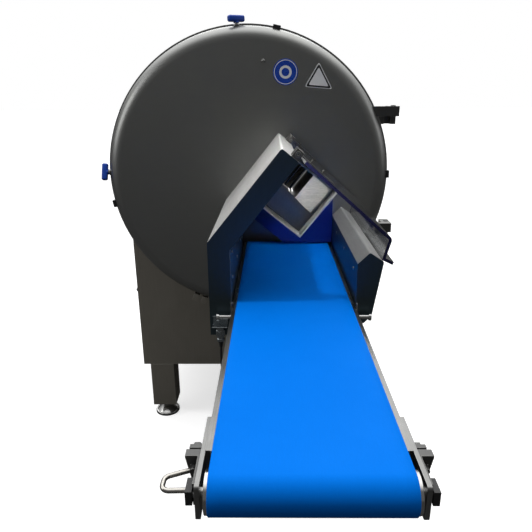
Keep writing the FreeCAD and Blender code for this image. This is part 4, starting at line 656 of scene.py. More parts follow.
@dataclass
class ScrewPattern:
    """Screw heads set on points by one Geometry Nodes tree.

    Attributes:
        bench: Where the heads are dressed and placed.
        facing: Name of the point attribute that holds the way a head faces.
        steps: Faces round a head.
        rounded: Radius and height of the button's outside.
        socket: Radius and height of the hexagon's mouth and floor.
        corner: Share of the socket's radius that its flats are drawn in by.
        sharp: Angle in degrees above which an edge stays sharp.
    """

    bench: Workbench
    facing: str = "facing"
    steps: int = 24
    rounded: tuple[tuple[float, float], ...] = (
        (1.0, 0.0), (1.0, 0.28), (0.97, 0.42), (0.88, 0.62), (0.74, 0.8), (0.6, 0.93), (0.5, 1.0))
    socket: tuple[tuple[float, float], ...] = ((0.46, 0.98), (0.46, 0.45))
    corner: float = 0.92
    sharp: float = 40.0

    def head(self) -> bpy.types.Object:
        """A button head of radius 1 and height 1 with a hexagonal socket."""
        shape = Shape()
        rings = []
        for radius, height in self.rounded + self.socket:
            ring = []
            for index in range(self.steps):
                turn = 2 * math.pi * index / self.steps
                part = (turn + math.pi / 6) % (math.pi / 3) - math.pi / 6
                inside = (radius, height) in self.socket
                reach = radius * self.corner / math.cos(part) if inside else radius
                spot = (reach * math.cos(turn), reach * math.sin(turn), height)
                ring.append(shape.mesh.verts.new(spot))
            rings.append(ring)
        for low, high in zip(rings, rings[1:]):
            shape.bridge(low, high)
        shape.mesh.faces.new(rings[-1])
        shape.mesh.faces.new(rings[0][::-1])
        return shape.done("screw_head_pattern", [], self.sharp)

    def tree(self) -> bpy.types.NodeTree:
        """The tree that sets a head on each point, turned to the point's facing."""
        tree = bpy.data.node_groups.new("screw_pattern", "GeometryNodeTree")
        for label, kind in (("Geometry", "Geometry"), ("Head", "Object"), ("Radius", "Float"),
                            ("Height", "Float"), ("Finish", "Material")):
            tree.interface.new_socket(label, in_out="INPUT", socket_type=f"NodeSocket{kind}")
        tree.interface.new_socket("Geometry", in_out="OUTPUT", socket_type="NodeSocketGeometry")
        wire = Wiring(tree)
        given = tree.nodes.new("NodeGroupInput").outputs
        head = wire.add("GeometryNodeObjectInfo", {"Object": given["Head"]},
                        transform_space="ORIGINAL")
        size = wire.add("ShaderNodeCombineXYZ",
                        {0: given["Radius"], 1: given["Radius"], 2: given["Height"]})
        way = wire.add("GeometryNodeInputNamedAttribute", {"Name": self.facing},
                       data_type="FLOAT_VECTOR")
        turn = wire.add("FunctionNodeAlignRotationToVector", {"Vector": way.outputs[0]}, axis="Z")
        heads = wire.add("GeometryNodeInstanceOnPoints", {
            "Points": given["Geometry"], "Instance": head.outputs["Geometry"],
            "Rotation": turn.outputs[0], "Scale": size.outputs[0]})
        real = wire.add("GeometryNodeRealizeInstances", {"Geometry": heads.outputs[0]})
        painted = wire.add("GeometryNodeSetMaterial", {"Geometry": real.outputs[0],
                                                       "Material": given["Finish"]})
        wire.add("NodeGroupOutput", {0: painted.outputs[0]})
        return tree

    def drill(self, name: str, spots: list[tuple[Vector, Vector]], radius: float, height: float,
              body: Body) -> bpy.types.Object:
        """Sets heads on spots and bakes them to one mesh.

        Args:
            name: The piece's name.
            spots: Where each head sits, and the way it faces.
            radius: Head radius in millimetres.
            height: Head height in millimetres.
            body: The body that the heads move with.

        Returns:
            The placed piece.
        """
        data = bpy.data.meshes.new(f"{name}_spots")
        data.from_pydata([spot for spot, _ in spots], [], [])
        ways = data.attributes.new(self.facing, "FLOAT_VECTOR", "POINT")
        for index, (_, way) in enumerate(spots):
            ways.data[index].vector = way
        holder = bpy.data.objects.new(f"{name}_holder", data)
        bpy.context.scene.collection.objects.link(holder)
        head = self.head()
        tree = self.tree()
        modifier = holder.modifiers.new("screws", "NODES")
        modifier.node_group = tree
        paint = self.bench.shop.get(Finishes.FASTENER)
        keys = {item.name: item.identifier for item in tree.interface.items_tree
                if item.in_out == "INPUT"}
        for label, value in (("Head", head), ("Radius", radius * MM), ("Height", height * MM),
                             ("Finish", paint)):
            modifier[keys[label]] = value
        baked = bake(holder)
        for spare in (holder, head):
            bpy.data.objects.remove(spare)
        baked.name = name
        baked.materials.clear()
        piece = link_mesh(name, baked, [paint], self.sharp)
        return self.bench.place(piece, body, Finishes.FASTENER)


@dataclass
class Studio:
    """Camera, floor, softboxes and surroundings.

    Attributes:
        spot: Place of the camera.
        pitch: Degrees that the camera looks down.
        yaw: Degrees that it looks to the right.
        roll: Degrees that it leans.
        lens: Focal length for a sensor 36 mm wide.
        floor_half: Half the floor's side in metres.
        dark: Strength of the room in front of the machine and below.
        bright: Strength of the room above and behind it.
        floor_glow: Strength of the floor's own light where it is seen directly.
    """

    spot: Point = (0.086, -1.7416, 1.3428)
    pitch: float = 18.213
    yaw: float = -0.688
    roll: float = -0.371
    lens: float = 34.56
    floor_half: float = 60.0
    dark: float = 0.14
    bright: float = 2.1
    floor_glow: float = 0.66

    def camera(self) -> None:
        """Sets the camera in front of the conveyor, looking down at the housing."""
        pitch, yaw, roll = (math.radians(v) for v in (self.pitch, self.yaw, self.roll))
        ahead = Vector((math.sin(yaw) * math.cos(pitch), math.cos(yaw) * math.cos(pitch),
                        -math.sin(pitch)))
        right = Vector((math.cos(yaw), -math.sin(yaw), 0.0))
        above = right.cross(ahead)
        side = right * math.cos(roll) + above * math.sin(roll)
        up = above * math.cos(roll) - right * math.sin(roll)
        data = bpy.data.cameras.new("view")
        data.lens = self.lens
        data.sensor_width = 36.0
        data.clip_start = 0.02
        made = bpy.data.objects.new("view", data)
        turn = Matrix([side, up, -ahead]).transposed().to_4x4()
        made.matrix_world = Matrix.Translation(self.spot) @ turn
        bpy.context.scene.collection.objects.link(made)
        bpy.context.scene.camera = made

    def softbox(self, name: str, spot: Point, aim: Point, size: tuple[float, float], power: float,
                mirrored: bool = True, spread: float = 180.0) -> None:
        """Adds an area light.

        Args:
            name: The light's name.
            spot: Its place.
            aim: The point it faces.
            size: Width and height in metres.
            power: Watts.
            mirrored: Whether the steel mirrors it.
            spread: Angle of its beam in degrees.
        """
        data = bpy.data.lights.new(name, "AREA")
        data.shape = "RECTANGLE"
        data.size, data.size_y = size
        data.energy = power
        data.spread = math.radians(spread)
        made = bpy.data.objects.new(name, data)
        made.visible_glossy = mirrored
        turn = (Vector(aim) - Vector(spot)).to_track_quat("-Z", "Y").to_matrix().to_4x4()
        made.matrix_world = Matrix.Translation(spot) @ turn
        bpy.context.scene.collection.objects.link(made)

    def surroundings(self) -> None:
        """A pale room: bright above and behind the machine, dim in front of it."""
        world = bpy.data.worlds.new("room")
        bpy.context.scene.world = world
        world.use_nodes = True
        wire = Wiring(world.node_tree)
        back = wire.find("BACKGROUND").inputs
        way = wire.add("ShaderNodeTexCoord").outputs["Generated"]
        parts = wire.add("ShaderNodeSeparateXYZ", {0: way}).outputs
        level = wire.math("ADD", wire.math("MULTIPLY", parts[1], 0.4),
                          wire.math("MULTIPLY", parts[2], 0.9))
        share = wire.add("ShaderNodeMapRange", {"Value": level, "From Min": 0.36, "From Max": 1.0,
                                                "To Min": self.dark, "To Max": self.bright},
                         interpolation_type="SMOOTHSTEP").outputs[0]
        seen = wire.add("ShaderNodeLightPath").outputs["Is Camera Ray"]
        strength = wire.add("ShaderNodeMix", {0: seen, 2: share, 3: 1.0}, data_type="FLOAT")
        wire.feed(back["Strength"], strength.outputs[0])
        wire.feed(back["Color"], (1.0, 1.0, 1.0, 1.0))

    def floor(self) -> None:
        """A plain pale floor, dim where the steel mirrors it."""
        shape = Shape()
        half = self.floor_half
        corners = [Vector((x, y, 0.0)) for x, y in ((-half, -half), (half, -half), (half, half),
                                                    (-half, half))]
        shape.mesh.faces.new([shape.mesh.verts.new(corner) for corner in corners])
        paint = bpy.data.materials.new("pale_floor")
        paint.use_nodes = True
        wire = Wiring(paint.node_tree)
        seen = wire.add("ShaderNodeLightPath").outputs["Is Camera Ray"]
        values = {"Base Color": wire.mix(seen, (0.05, 0.05, 0.05, 1.0), (0.6, 0.6, 0.6, 1.0)),
                  "Emission Color": (1.0, 1.0, 1.0, 1.0),
                  "Emission Strength": wire.math("MULTIPLY", seen, self.floor_glow),
                  "Roughness": 0.9, "Specular IOR Level": 0.0}
        shader = wire.find("BSDF_PRINCIPLED")
        for label, value in values.items():
            wire.feed(shader.inputs[label], value)
        made = shape.done("floor", [paint], recalc=False)

    def build(self) -> None:
        """Sets up everything that isn't the machine."""
        bpy.context.scene.view_settings.view_transform = "Standard"
        self.camera()
        self.surroundings()
        self.floor()
        self.softbox("overhead", (-0.28, -0.56, 3.6), (0.14, -0.56, 0.8), (0.16, 0.16), 25.0, False)
        self.softbox("left_side", (-2.8, -0.6, 2.2), (0.0, -0.2, 0.9), (1.6, 1.6), 14.0)
        self.softbox("right_side", (2.8, 0.2, 2.0), (0.1, -0.1, 0.9), (1.4, 1.4), 5.0)
        self.softbox("window", (0.15, -2.5, 1.9), (0.14, 0.05, 1.05), (0.3, 0.3), 0.55, False, 12.0)
        self.softbox("rear_top", (0.0, 3.0, 2.8), (0.0, 0.4, 1.0), (2.4, 1.6), 30.0)


@dataclass
class Lead:
    """The drum motor's lead, with its connector's sleeve and its gland.

    Attributes:
        bench: Where the pieces are dressed and placed.
        radius: Radius of the lead in millimetres.
        length: Length of the lead in metres; not used.
        route: Points along the lead, in the row frame.
        plug: Top of the connector, in design millimetres.
        gland: Foot of the gland, in design millimetres.
        gland_size: Distance from the middle of the gland's hexagon to its corners.
    """

    bench: Workbench
    radius: float = 3.5
    length: float = 0.335
    route: tuple[Point, ...] = (
        (-0.051, -0.5066, 0.709), (-0.052, -0.5056, 0.668), (-0.050, -0.4976, 0.628),
        (-0.043, -0.4776, 0.594), (-0.030, -0.4496, 0.575), (-0.012, -0.4156, 0.571),
        (0.004, -0.3836, 0.586), (0.015, -0.3616, 0.618), (0.020, -0.3506, 0.654),
        (0.021, -0.3466, 0.688))
    plug: Point = (-51.0, -597.0, 770.0)
    gland: Point = (21.0, -437.0, 700.0)
    gland_size: float = 11.3

    def cable(self) -> None:
        """One hanging loop from the connector to the gland."""
        data = bpy.data.curves.new("drum_motor_lead", "CURVE")
        data.dimensions = "3D"
        line = data.splines.new("NURBS")
        line.points.add(len(self.route) - 1)
        for point, place in zip(line.points, self.route):
            point.co = (*place, 1.0)
        line.order_u = 3
        line.use_endpoint_u = True
        data.resolution_u = 16
        data.bevel_depth = self.radius * MM
        data.bevel_resolution = 5
        data.use_fill_caps = True
        data.materials.append(self.bench.shop.get(Finishes.CABLE))
        piece = bpy.data.objects.new("drum_motor_lead", data)
        bpy.context.scene.collection.objects.link(piece)
        self.bench.place(piece, Body.COVER, Finishes.CABLE, "motor_cable")

    def connectors(self) -> None:
        """Bracket, ribbed connector with a tapered sleeve, and the gland with its hexagon."""
        shape = Shape()
        x, y, z = self.plug
        shape.round_bar(at(x, y, z + 1.5), (X_AXIS, Y_AXIS, Z_AXIS), (40, 32, 3), 0.8)
        shape.round_bar(at(x, y + 14.5, z + 12.0), (X_AXIS, Y_AXIS, Z_AXIS), (40, 3, 20), 0.8)
        top, down = at(x, y, z), -Z_AXIS
        shape.lathe([(0, 0), (12.4, 0), (13, 0.5), (13, 2.5), (12.4, 3), (10.5, 3.1), (10.5, 11.6),
                     (11, 12)], top, down, 72)
        shape.lathe([(11, 12), (12, 12.8), (12, 28.2), (11.2, 29), (9.4, 29)], top, down, 144,
                    ribs=24, rib=0.9)
        shape.lathe([(9.4, 29), (9, 29.4), (9, 34.6), (9.6, 35), (10.5, 35.6), (10.5, 42.4), (9.9, 43),
                     (7.6, 43)], top, down, 72)
        sleeve = [(7.6, 43), (7.2, 44)]
        for step in range(4):
            base = 45 + step * 4
            wide = 7.0 - 0.7 * step
            narrow = wide - 1.1
            sleeve += [(wide, base), (wide, base + 2.2), (narrow, base + 2.6), (narrow, base + 3.6)]
        sleeve += [(4.3, 61.0), (3.0, 61.0), (0, 60.5)]
        shape.lathe(sleeve, top, down, 48, 1)
        root = at(*self.gland)
        turns = [math.radians(60 * side) for side in range(6)]
        hexagon = [root + Vector((math.cos(turn), math.sin(turn), 0.0)) * self.gland_size * MM
                   for turn in turns]
        shape.extrude(hexagon, down * 6.0 * MM, 1)
        shape.lathe([(0, 6), (8, 6), (8, 8), (7.4, 10), (5.6, 12), (0, 12)], root, down, 48, 1)
        paints = [self.bench.shop.get(finish) for finish in (Finishes.PLUG, Finishes.BLACK)]
        piece = shape.done("lead_connectors", paints)
        soften(piece, 0.25)
        self.bench.place(piece, Body.COVER, Finishes.BLACK, "cable_connectors")

    def build(self) -> None:
        """Makes the lead and its ends."""
        self.cable()
        self.connectors()


def soften(piece: bpy.types.Object, edge: float, steps: int = 2, sharp: float = 35.0) -> None:
    """Adds broken edges to a piece.

    Args:
        piece: The piece.
        edge: Width in millimetres.
        steps: Faces across each edge.
        sharp: Least angle in degrees of an edge that is broken.
    """
    bevel = piece.modifiers.new("broken_edges", "BEVEL")
    bevel.width = edge * MM
    bevel.segments = steps
    bevel.limit_method = "ANGLE"
    bevel.angle_limit = math.radians(sharp)
    even_normals(piece)


@dataclass
class Cover:
    """The swing-away cover of the blade housing, with its knobs, signs and hinge arms.

    Sizes are in millimetres and angles in degrees.

    Attributes:
        bench: Where the pieces are dressed and placed.
        radius: Outer radius of the dish.
        depth: Depth of the dish.
        bend: Outer radius of its rolled edge.
        sheet: Thickness of its sheet.
        opening_x: Sides of the recess over the belt.
        opening_z: Its bottom and top.
        corner: Lowest corner of the square opening, as x and z.
        tilt: Angle of the square's first side above the level.
        reach: Side of the square.
        past: How far the cutters pass the square's corner.
        cut: Where the cutters start, and their length.
        knob_angles: Place round the rim and twist of the top and of the left knob.
        knob_y: Place of the knobs behind the cover's face.
        knob_bar: Height, depth and length of a knob's bar.
        pin: Foot of the pin on the cover's face.
        sign_round: Middle, as x and z, and radius of the round plate.
        sign_rings: Radii of the ring in the middle of the round plate.
        sign_corners: Corners of the triangular plate.
        sign_inner: Radius of the circle inside the triangular plate.
        sign_corner: Length of its rounded corners.
    """

    bench: Workbench
    radius: float = 500.0
    depth: float = 50.0
    bend: float = 45.0
    sheet: float = 3.0
    opening_x: tuple[float, float] = (-21.8, 308.2)
    opening_z: tuple[float, float] = (755.0, 950.0)
    corner: tuple[float, float] = (189.5, 857.0)
    tilt: float = 51.0
    reach: float = 236.0
    past: float = 5.0
    cut: tuple[float, float] = (-20.0, 120.0)
    knob_angles: tuple[tuple[float, float], ...] = ((93.4, 35.0), (178.2, 20.0))
    knob_y: float = 38.0
    knob_bar: Point = (21.0, 19.6, 61.6)
    pin: Point = (59.4, 0.0, 1460.0)
    sign_round: tuple[float, float, float] = (133.6, 1425.0, 42.0)
    sign_rings: tuple[float, float] = (21.0, 13.0)
    sign_corners: tuple[tuple[float, float], ...] = (
        (245.1, 1455.6), (198.5, 1377.5), (292.8, 1369.5))
    sign_inner: float = 24.5
    sign_corner: float = 9.0

    def dish_profile(self) -> Profile:
        """Outline of the dish from its outer centre round the rim to its inner centre."""
        flat = self.radius - self.bend
        points: Profile = [(radius, 0.0) for radius in (0.0, 150.0, 300.0, 420.0, flat - 4.0)]
        for step in range(17):
            turn = math.radians(90.0 * step / 16)
            points.append((flat + self.bend * math.sin(turn), self.bend * (1 - math.cos(turn))))
        points += [(self.radius, self.depth - 0.8), (self.radius - 0.8, self.depth)]
        thin = self.bend - self.sheet
        inner = self.radius - self.sheet
        points += [(inner + 0.6, self.depth), (inner, self.depth - 0.6)]
        for step in range(13):
            turn = math.radians(90.0 * (12 - step) / 12)
            points.append((flat + thin * math.sin(turn), self.sheet + thin * (1 - math.cos(turn))))
        return points + [(flat - 4.0, self.sheet), (300.0, self.sheet), (0.0, self.sheet)]

    def cutters(self) -> list[bpy.types.Object]:
        """Prisms that cut the discharge opening."""
        (x0, x1), (z0, z1) = self.opening_x, self.opening_z
        front, length = self.cut
        travel = Y_AXIS * length * MM
        box = Shape()
        box.extrude([at(x, front, z) for x, z in ((x0, z0), (x1, z0), (x1, z1), (x0, z1))], travel)
        turn = math.radians(self.tilt)
        right, up = math.cos(turn), math.sin(turn)
        low, high = -self.past, self.reach
        square = Shape()
        square.extrude([at(self.corner[0] + a * right - b * up, front,
                           self.corner[1] + a * up + b * right)
                        for a, b in ((low, low), (high, low), (high, high), (low, high))], travel)
        return [box.done("opening_recess", []), square.done("opening_square", [])]

    def dish(self) -> None:
        """Spins the dish, cuts its opening, and adds the bushes and the face pin."""
        shape = Shape()
        shape.lathe(self.dish_profile(), at(0, 0, BLADE_AXIS_MM), Y_AXIS, 240)
        piece = shape.done("cover_dish", [self.bench.shop.get(Finishes.DRUM)])
        cutters = self.cutters()
        for cutter in cutters:
            cut = piece.modifiers.new(cutter.name, "BOOLEAN")
            cut.operation = "DIFFERENCE"
            cut.solver = "EXACT"
            cut.object = cutter
        extras = Shape()
        extras.mesh.from_mesh(bake(piece))
        for spare in (piece, *cutters):
            bpy.data.objects.remove(spare)
        for angle, _ in self.knob_angles:
            extras.lathe([(6.2, -2.0), (6.2, 4.0), (10.4, 4.0), (11.0, 3.4), (11.0, -1.0), (6.2, -2.0)],
                         rim(angle, self.radius, self.knob_y), outwards(angle), 40)
        extras.lathe([(0, -1), (7, -1), (7, 3.4), (6.4, 4), (5, 4.2), (5, 11), (4.2, 13), (2.5, 14),
                      (0, 14.2)], at(*self.pin), -Y_AXIS, 40)
        made = extras.done("cover_dish", [self.bench.shop.get(Finishes.DRUM)], 40.0, recalc=False)
        even_normals(made)
        self.bench.place(made, Body.COVER, Finishes.DRUM, "cover_shell")

    def knob(self, name: str, body: Body, node: str, angle: float, twist: float) -> None:
        """Makes a moulded bar on a hub, with its steel stud.

        Args:
            name: The piece's name.
            body: The body that it turns with.
            node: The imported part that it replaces.
            angle: Its place round the rim in degrees.
            twist: How far it is turned about its stud, in degrees.
        """
        way = outwards(angle)
        turn = Matrix.Rotation(math.radians(twist), 3, way)
        flat, across = turn @ Y_AXIS, turn @ way.cross(Y_AXIS)
        shape = Shape()
        foot = rim(angle, self.radius + 8.0, self.knob_y)
        shape.round_bar(foot + way * 13.5 * MM, (way, flat, across), self.knob_bar, 6.5)
        shape.lathe([(6.4, 0), (9.3, 0), (9.6, 0.4), (9.6, 4), (9.0, 6), (0, 7)], foot, way, 48)
        shape.lathe([(0, -20.2), (5.4, -20.2), (6, -19.4), (6, 0.5), (0, 0.5)], foot, way, 40, 1)
        paints = [self.bench.shop.get(finish) for finish in (Finishes.KNOB, Finishes.FASTENER)]
        piece = shape.done(name, paints, 30.0)
        self.bench.place(piece, body, Finishes.KNOB, node)

    def signs(self) -> None:
        """Plain sign plates: a blue disc with a white ring, and a white triangle with a dark border."""
        shape = Shape()
        x, z, radius = self.sign_round
        (outer, inner), edge, top = self.sign_rings, radius - 3.2, 1.0
        for profile, paint in (
                ([(radius, 0.0), (radius, 0.8), (radius - 0.3, top), (edge, top)], 0),
                ([(edge, top), (radius - 5.4, top)], 1), ([(radius - 5.4, top), (outer, top)], 0),
                ([(outer, top), (inner, top)], 1), ([(inner, top), (0.0, top)], 0),
                ([(radius, 0.0), (0.0, 0.0)], 0)):
            shape.lathe(profile, at(x, 0, z), -Y_AXIS, 96, paint)
        centre = sum((Vector(corner) for corner in self.sign_corners), Vector((0.0, 0.0))) / 3
        rings = []
        for inset, lift in ((0.0, 0.0), (0.0, 0.8), (0.4, top), (2.0, top), (7.0, top)):
            rings.append([shape.mesh.verts.new(point) for point in self.rounded(centre, inset, lift)])
        for low, high, paint in zip(rings, rings[1:], (1, 1, 1, 2)):
            shape.bridge(low, high, paint)
        shape.mesh.faces.new(rings[-1]).material_index = 1
        shape.mesh.faces.new(rings[0][::-1]).material_index = 1
        bmesh.ops.remove_doubles(shape.mesh, verts=shape.mesh.verts, dist=1e-6)
        films = (Finishes.SIGN_BLUE, Finishes.SIGN_WHITE, Finishes.SIGN_DARK)
        piece = shape.done("sign_plates", [self.bench.shop.get(film) for film in films])
        self.bench.place(piece, Body.COVER, Finishes.SIGN_BLUE, "safety_signs")

    def rounded(self, centre: Vector, inset: float, lift: float) -> list[Vector]:
        """Outline of the triangular plate with rounded corners.

        Args:
            centre: Middle of the triangle, as x and z.
            inset: How far the outline is drawn in.
            lift: How far it stands off the cover's face.

        Returns:
            Points round the outline.
        """
        points = []
        corners = [Vector(corner) for corner in self.sign_corners]
        shrink = 1.0 - inset / self.sign_inner
        for index, corner in enumerate(corners):
            before = (corners[index - 1] - corner).normalized()
            after = (corners[(index + 1) % 3] - corner).normalized()
            start, end = corner + before * self.sign_corner, corner + after * self.sign_corner
            for step in range(7):
                share = step / 6
                curve = (start * (1 - share) ** 2 + corner * 2 * share * (1 - share)
                         + end * share ** 2)
                flat = centre + (curve - centre) * shrink
                points.append(at(flat.x, -lift, flat.y))
        return points

    def build(self) -> None:
        """Makes the cover and what rides on it."""
        self.dish()
        (top, top_twist), (left, left_twist) = self.knob_angles
        self.knob("clamp_knob_top_bar", Body.KNOB_TOP, "clamp_knob_top", top, top_twist)
        self.knob("clamp_knob_left_bar", Body.KNOB_LEFT, "clamp_knob_left", left, left_twist)
        self.signs()
        self.bench.refine("cover_hinge_arms", Body.COVER, Finishes.CARRIER, 1.0, 3)
        self.bench.refine("safety_magnets", Body.COVER, Finishes.BLACK, 1.2, 3)


@dataclass
class Hood:
    """Folded discharge hood, box guard, chute and the blue plate below it.

    Attributes:
        bench: Where the pieces are dressed and placed.
        liner_x: Inner face of the hood's wall, in millimetres.
        guard_x: Inner face of the guard.
        screw_ys: Places of the screws along the belt.
        liner_zs: Heights of the screws in the hood's wall.
        guard_z: Height of the screws in the guard.
    """

    bench: Workbench
    liner_x: float = -21.5
    guard_x: float = 307.0
    screw_ys: tuple[float, ...] = (-520.0, -330.0, -140.0)
    liner_zs: tuple[float, float] = (950.0, 880.0)
    guard_z: float = 905.0

    def screws(self) -> None:
        """Button heads on the liner and on the guard's inner wall."""
        spots = []
        for y in self.screw_ys:
            spots += [(at(self.liner_x, y, z), X_AXIS) for z in self.liner_zs]
            spots.append((at(self.guard_x, y, self.guard_z), -X_AXIS))
        piece = ScrewPattern(self.bench).drill("hood_screw_heads", spots, 5.0, 2.5, Body.COVER)
        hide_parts("hood_screws")

    def build(self) -> None:
        """Makes the hood and the parts round the discharge."""
        refine = self.bench.refine
        # Forward faces of hood and guard, faces turned to the belt, and the whole liner take the dark
        # bluish steel: painted shade with a painted reflection of the belt.
        refine("hood_shell", Body.COVER, Finishes.HOOD, 1.4, 3, Finishes.FRONT)
        refine("hood_liner", Body.COVER, Finishes.FRONT, 0.6)
        refine("guard_shell", Body.COVER, Finishes.GUARD, 1.4, 3, Finishes.FRONT)
        refine("outfeed_chute", Body.COVER, Finishes.CHUTE, 0.7, 3)
        refine("deflector_plate", Body.COVER, Finishes.BLUE, 1.2, 3)
        refine("flap_hinge_blocks", Body.COVER, Finishes.HINGE, 1.0, 3)
        self.screws()


@dataclass
class Flap:
    """Clear flap between hood and guard, with its straps.

    Attributes:
        bench: Where the pieces are dressed and placed.
        edge: Width in metres of the flap's ends that count as its edges, painted dark blue as a painted
            refraction of the belt.
    """

    bench: Workbench
    edge: float = 0.002

    def build(self) -> None:
        """Makes the flap with its edges painted dark blue as painted refraction, and its straps."""
        piece = self.bench.refine("clear_flap", Body.FLAP, Finishes.CLEAR, 0.5, 2)
        piece.data.materials.append(self.bench.shop.get(Finishes.CLEAR_EDGE_REFRACTION))
        # End faces of the sheet take the dark blue painted refraction.
        low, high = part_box("clear_flap")
        for face in piece.data.polygons:
            inside = min(face.center.y - low.y, high.y - face.center.y)
            if abs(face.normal.y) > 0.9 and inside < self.edge:
                face.material_index = 1
        self.bench.refine("flap_straps", Body.FLAP, Finishes.HINGE, 0.8, 2)


@dataclass
class Conveyor:
    """Discharge conveyor: belt, rollers, rails, slider bed and cradle.

    Sizes are in millimetres.

    Attributes:
        bench: Where the pieces are dressed and placed.
        roller: Radius of the belt's inside round a roller.
        belt: Thickness of the belt.
        width: Width of the belt.
        edge: How far its edges are rounded.
        front_y: Axis of the front roller.
        rear_y: Axis of the rear roller.
        axle_z: Height of both axes.
        arc_steps: Faces round a roller.
        run_steps: Faces along a straight run.
    """

    bench: Workbench
    roller: float = 31.8
    belt: float = 2.0
    width: float = 300.0
    edge: float = 0.6
    front_y: float = -1227.0
    rear_y: float = 18.0
    axle_z: float = 796.2
    arc_steps: int = 40
    run_steps: int = 120

    def loop(self, radius: float) -> list[tuple[float, float]]:
        """Points (y, z) round both rollers at a radius, from the top of the front roller."""
        points = []
        span = self.rear_y - self.front_y
        for start, way in ((self.front_y, 1.0), (self.rear_y, -1.0)):
            for step in range(self.run_steps):
                share = step / self.run_steps
                points.append((start + way * span * share, self.axle_z + way * radius))
            for step in range(self.arc_steps):
                turn = math.pi * step / self.arc_steps
                points.append((start + way * (span + radius * math.sin(turn)),
                               self.axle_z + way * radius * math.cos(turn)))
        return points

    def make_belt(self) -> None:
        """The belt's closed loop with rounded edges."""
        shape = Shape()
        half, edge = self.width / 2, self.edge
        tops = (-half + edge, -half + 20, -half / 2, 0.0, half / 2, half - 20, half - edge)
        section = [(-half, self.belt - edge), *((x, self.belt) for x in tops),
                   (half, self.belt - edge), (half, edge), (half - edge, 0.0), (0.0, 0.0),
                   (-half + edge, 0.0), (-half, edge)]
        rows = [[shape.mesh.verts.new(at(BELT_MID_MM + x, y, z))
                 for y, z in self.loop(self.roller + lift)] for x, lift in section]
        for row, after in zip(rows, rows[1:] + rows[:1]):
            shape.bridge(row, after)
        piece = shape.done("conveyor_belt_loop", [self.bench.shop.get(Finishes.BELT)], 50.0)
        self.bench.place(piece, Body.COVER, Finishes.BELT, "conveyor_belt")

    def build(self) -> None:
        """Makes the conveyor."""
        self.make_belt()
        refine = self.bench.refine
        refine("front_roller", Body.FRONT_ROLLER, Finishes.BRIGHT, 1.0, 3)
        refine("drive_roller", Body.DRIVE_ROLLER, Finishes.BRIGHT, 1.0, 3)
        refine("conveyor_rails", Body.COVER, Finishes.SHEET_LONG, 0.8, 3)
        refine("nose_plates", Body.COVER, Finishes.SHEET_LONG, 0.8, 3)
        refine("slider_bed", Body.COVER, Finishes.SHEET_LONG, 0.5)
        refine("conveyor_crossbars", Body.COVER, Finishes.BRIGHT, 0.8)
        refine("conveyor_cradle", Body.COVER, Finishes.SHEET_LONG, 0.5)
        refine("locking_studs", Body.COVER, Finishes.BRIGHT, 0.6, 3)


@dataclass
class TakeUp:
    """Front roller's tensioning gear on both sides."""

    bench: Workbench

    def build(self) -> None:
        """Makes the brackets, blocks, axle, handle and bolts."""
        refine = self.bench.refine
        refine("take_up_carriers", Body.TAKE_UP, Finishes.CARRIER, 1.0, 3)
        refine("axle_blocks", Body.TAKE_UP, Finishes.BLACK, 1.5, 3)
        refine("front_axle", Body.TAKE_UP, Finishes.BRIGHT, 0.8, 3)
        refine("pull_handle", Body.TAKE_UP, Finishes.ROD, 0.3)
        refine("take_up_bolts", Body.COVER, Finishes.CARRIER, 0.6, 2)


@dataclass
class Housing:
    """Fixed blade housing with what is seen through the discharge window.

    Attributes:
        bench: Where the pieces are dressed and placed.
        plate: Millimetres of the product guide, from its front, that are the bright plate.
    """

    bench: Workbench
    plate: float = 6.0

    def build(self) -> None:
        """Makes the housing, its seal, ledges and hinge brackets, and the infeed mouth."""
        refine = self.bench.refine
        refine("blade_housing", Body.MACHINE, Finishes.DRUM, 0.8)
        refine("housing_seal", Body.MACHINE, Finishes.SEAL, 0.6)
        refine("cover_rests", Body.MACHINE, Finishes.SHEET_UP, 1.0, 3)
        refine("hinge_brackets", Body.MACHINE, Finishes.CARRIER, 1.0, 3)
        refine("infeed_mouth", Body.MACHINE, Finishes.DRUM, 0.8, 3)
        guide = refine("product_guide", Body.MACHINE, Finishes.GUIDE, 0.6, 3)
        guide.data.materials.append(self.bench.shop.get(Finishes.CARRIER))
        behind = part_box("product_guide")[0].y + self.plate * MM
        for face in guide.data.polygons:
            face.material_index = int(face.center.y > behind)


@dataclass
class Cabinet:
    """Legged cabinet with its service panel. Sizes are in millimetres.

    Attributes:
        bench: Where the pieces are dressed and placed.
        rear: Outer face of the service panel.
        screw_xs: Places of the panel's screws across it.
        screw_zs: Heights of the panel's screws.
        bolt: Foot of the bolt in the left side.
    """

    bench: Workbench
    rear: float = 1021.0
    screw_xs: tuple[float, ...] = (-420.0, -140.0, 140.0, 420.0)
    screw_zs: tuple[float, float] = (289.0, 770.0)
    bolt: Point = (-464.0, 138.0, 595.0)

    def screws(self) -> None:
        """Screws of the service panel and the bolt in the left side."""
        spots = [(at(x, self.rear, z), Y_AXIS) for x in self.screw_xs for z in self.screw_zs]
        ScrewPattern(self.bench).drill("panel_screw_heads", spots, 7.0, 4.5, Body.MACHINE)
        shape = Shape()
        shape.lathe([(0, -6), (3, -6), (3, 0), (10.6, 0), (11, 0.5), (11, 1.6), (10.6, 2), (8, 2.1),
                     (8, 4.6), (7.4, 6.8), (6.0, 8.4), (4.6, 9.0), (4.2, 9.0), (4.2, 5.5), (0, 5.5)],
                    at(*self.bolt), -X_AXIS, 48)
        piece = shape.done("side_bolt", [self.bench.shop.get(Finishes.FASTENER)])
        self.bench.place(piece, Body.MACHINE, Finishes.FASTENER, "cabinet_screws")

    def build(self) -> None:
        """Makes the cabinet, its legs and feet."""
        refine = self.bench.refine
        refine("cabinet_shell", Body.MACHINE, Finishes.SHEET_UP, 2.0, 4)
        refine("cabinet_legs", Body.MACHINE, Finishes.SHEET_UP, 3.0, 4)
        refine("levelling_feet", Body.MACHINE, Finishes.BRIGHT, 1.0, 3)
        refine("service_panel", Body.MACHINE, Finishes.SHEET_UP, 0.8)
        self.screws()


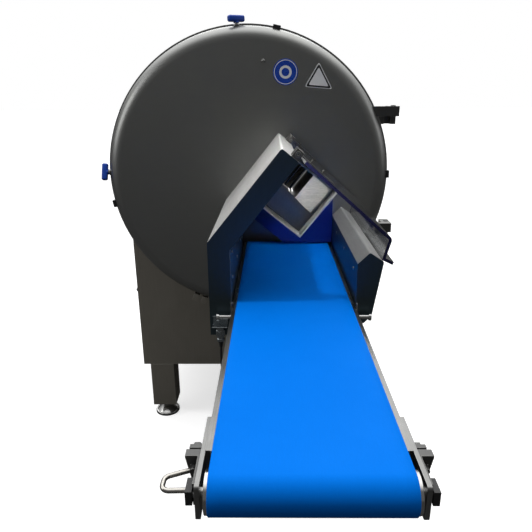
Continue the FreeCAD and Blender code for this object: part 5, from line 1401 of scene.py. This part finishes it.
@dataclass
class Drive:
    """Blade, its spindle and its drive."""

    bench: Workbench

    def build(self) -> None:
        """Makes the turning blade and the drive behind it."""
        refine = self.bench.refine
        refine("sickle_blade", Body.BLADE, Finishes.BLADE, 0.2)
        refine("blade_shaft", Body.BLADE, Finishes.BRIGHT, 0.8)
        refine("blade_clamp_disc", Body.BLADE, Finishes.BRIGHT, 1.0, 3)
        refine("clamp_bolts", Body.BLADE, Finishes.FASTENER, 0.4)
        refine("blade_pulley", Body.BLADE, Finishes.BRIGHT, 0.6)
        refine("motor_shaft", Body.MOTOR, Finishes.BRIGHT, 0.6)
        refine("drive_housing", Body.MACHINE, Finishes.SHEET_UP, 2.0, 3)
        refine("spindle_housing", Body.MACHINE, Finishes.BRIGHT, 1.0)
        refine("shaft_bearings", Body.MACHINE, Finishes.BRIGHT, 0.4)
        refine("blade_motor", Body.MACHINE, Finishes.MOTOR, 1.5, 3)
        refine("drive_belt", Body.MACHINE, Finishes.DRIVE, 0.4)


@dataclass
class Infeed:
    """Covered V trough with its lid and pusher."""

    bench: Workbench

    def build(self) -> None:
        """Makes the trough, lid, pusher and their supports."""
        refine = self.bench.refine
        refine("infeed_trough", Body.MACHINE, Finishes.SHEET_LONG, 0.8, 3)
        refine("trough_supports", Body.MACHINE, Finishes.SHEET_UP, 1.0)
        refine("lid_hinge", Body.MACHINE, Finishes.BRIGHT, 0.6)
        refine("pusher_rail", Body.MACHINE, Finishes.BRIGHT, 1.0, 3)
        refine("infeed_lid", Body.LID, Finishes.SHEET_LONG, 0.8, 3)
        refine("pusher_plate", Body.PUSHER, Finishes.WHITE, 2.0, 4)
        refine("pusher_carriage", Body.PUSHER, Finishes.SHEET_LONG, 1.2, 3)


def main() -> None:
    """Builds the studio and the machine, sub-assembly by sub-assembly."""
    Studio().build()
    bench = Workbench(FinishShop())
    Lead(bench).build()
    for assembly in (Housing(bench), Cover(bench), Hood(bench), Flap(bench), Conveyor(bench),
                     TakeUp(bench), Cabinet(bench), Drive(bench), Infeed(bench)):
        log.info("-- %s", type(assembly).__name__)
        assembly.build()


if __name__ == "__main__":
    main()
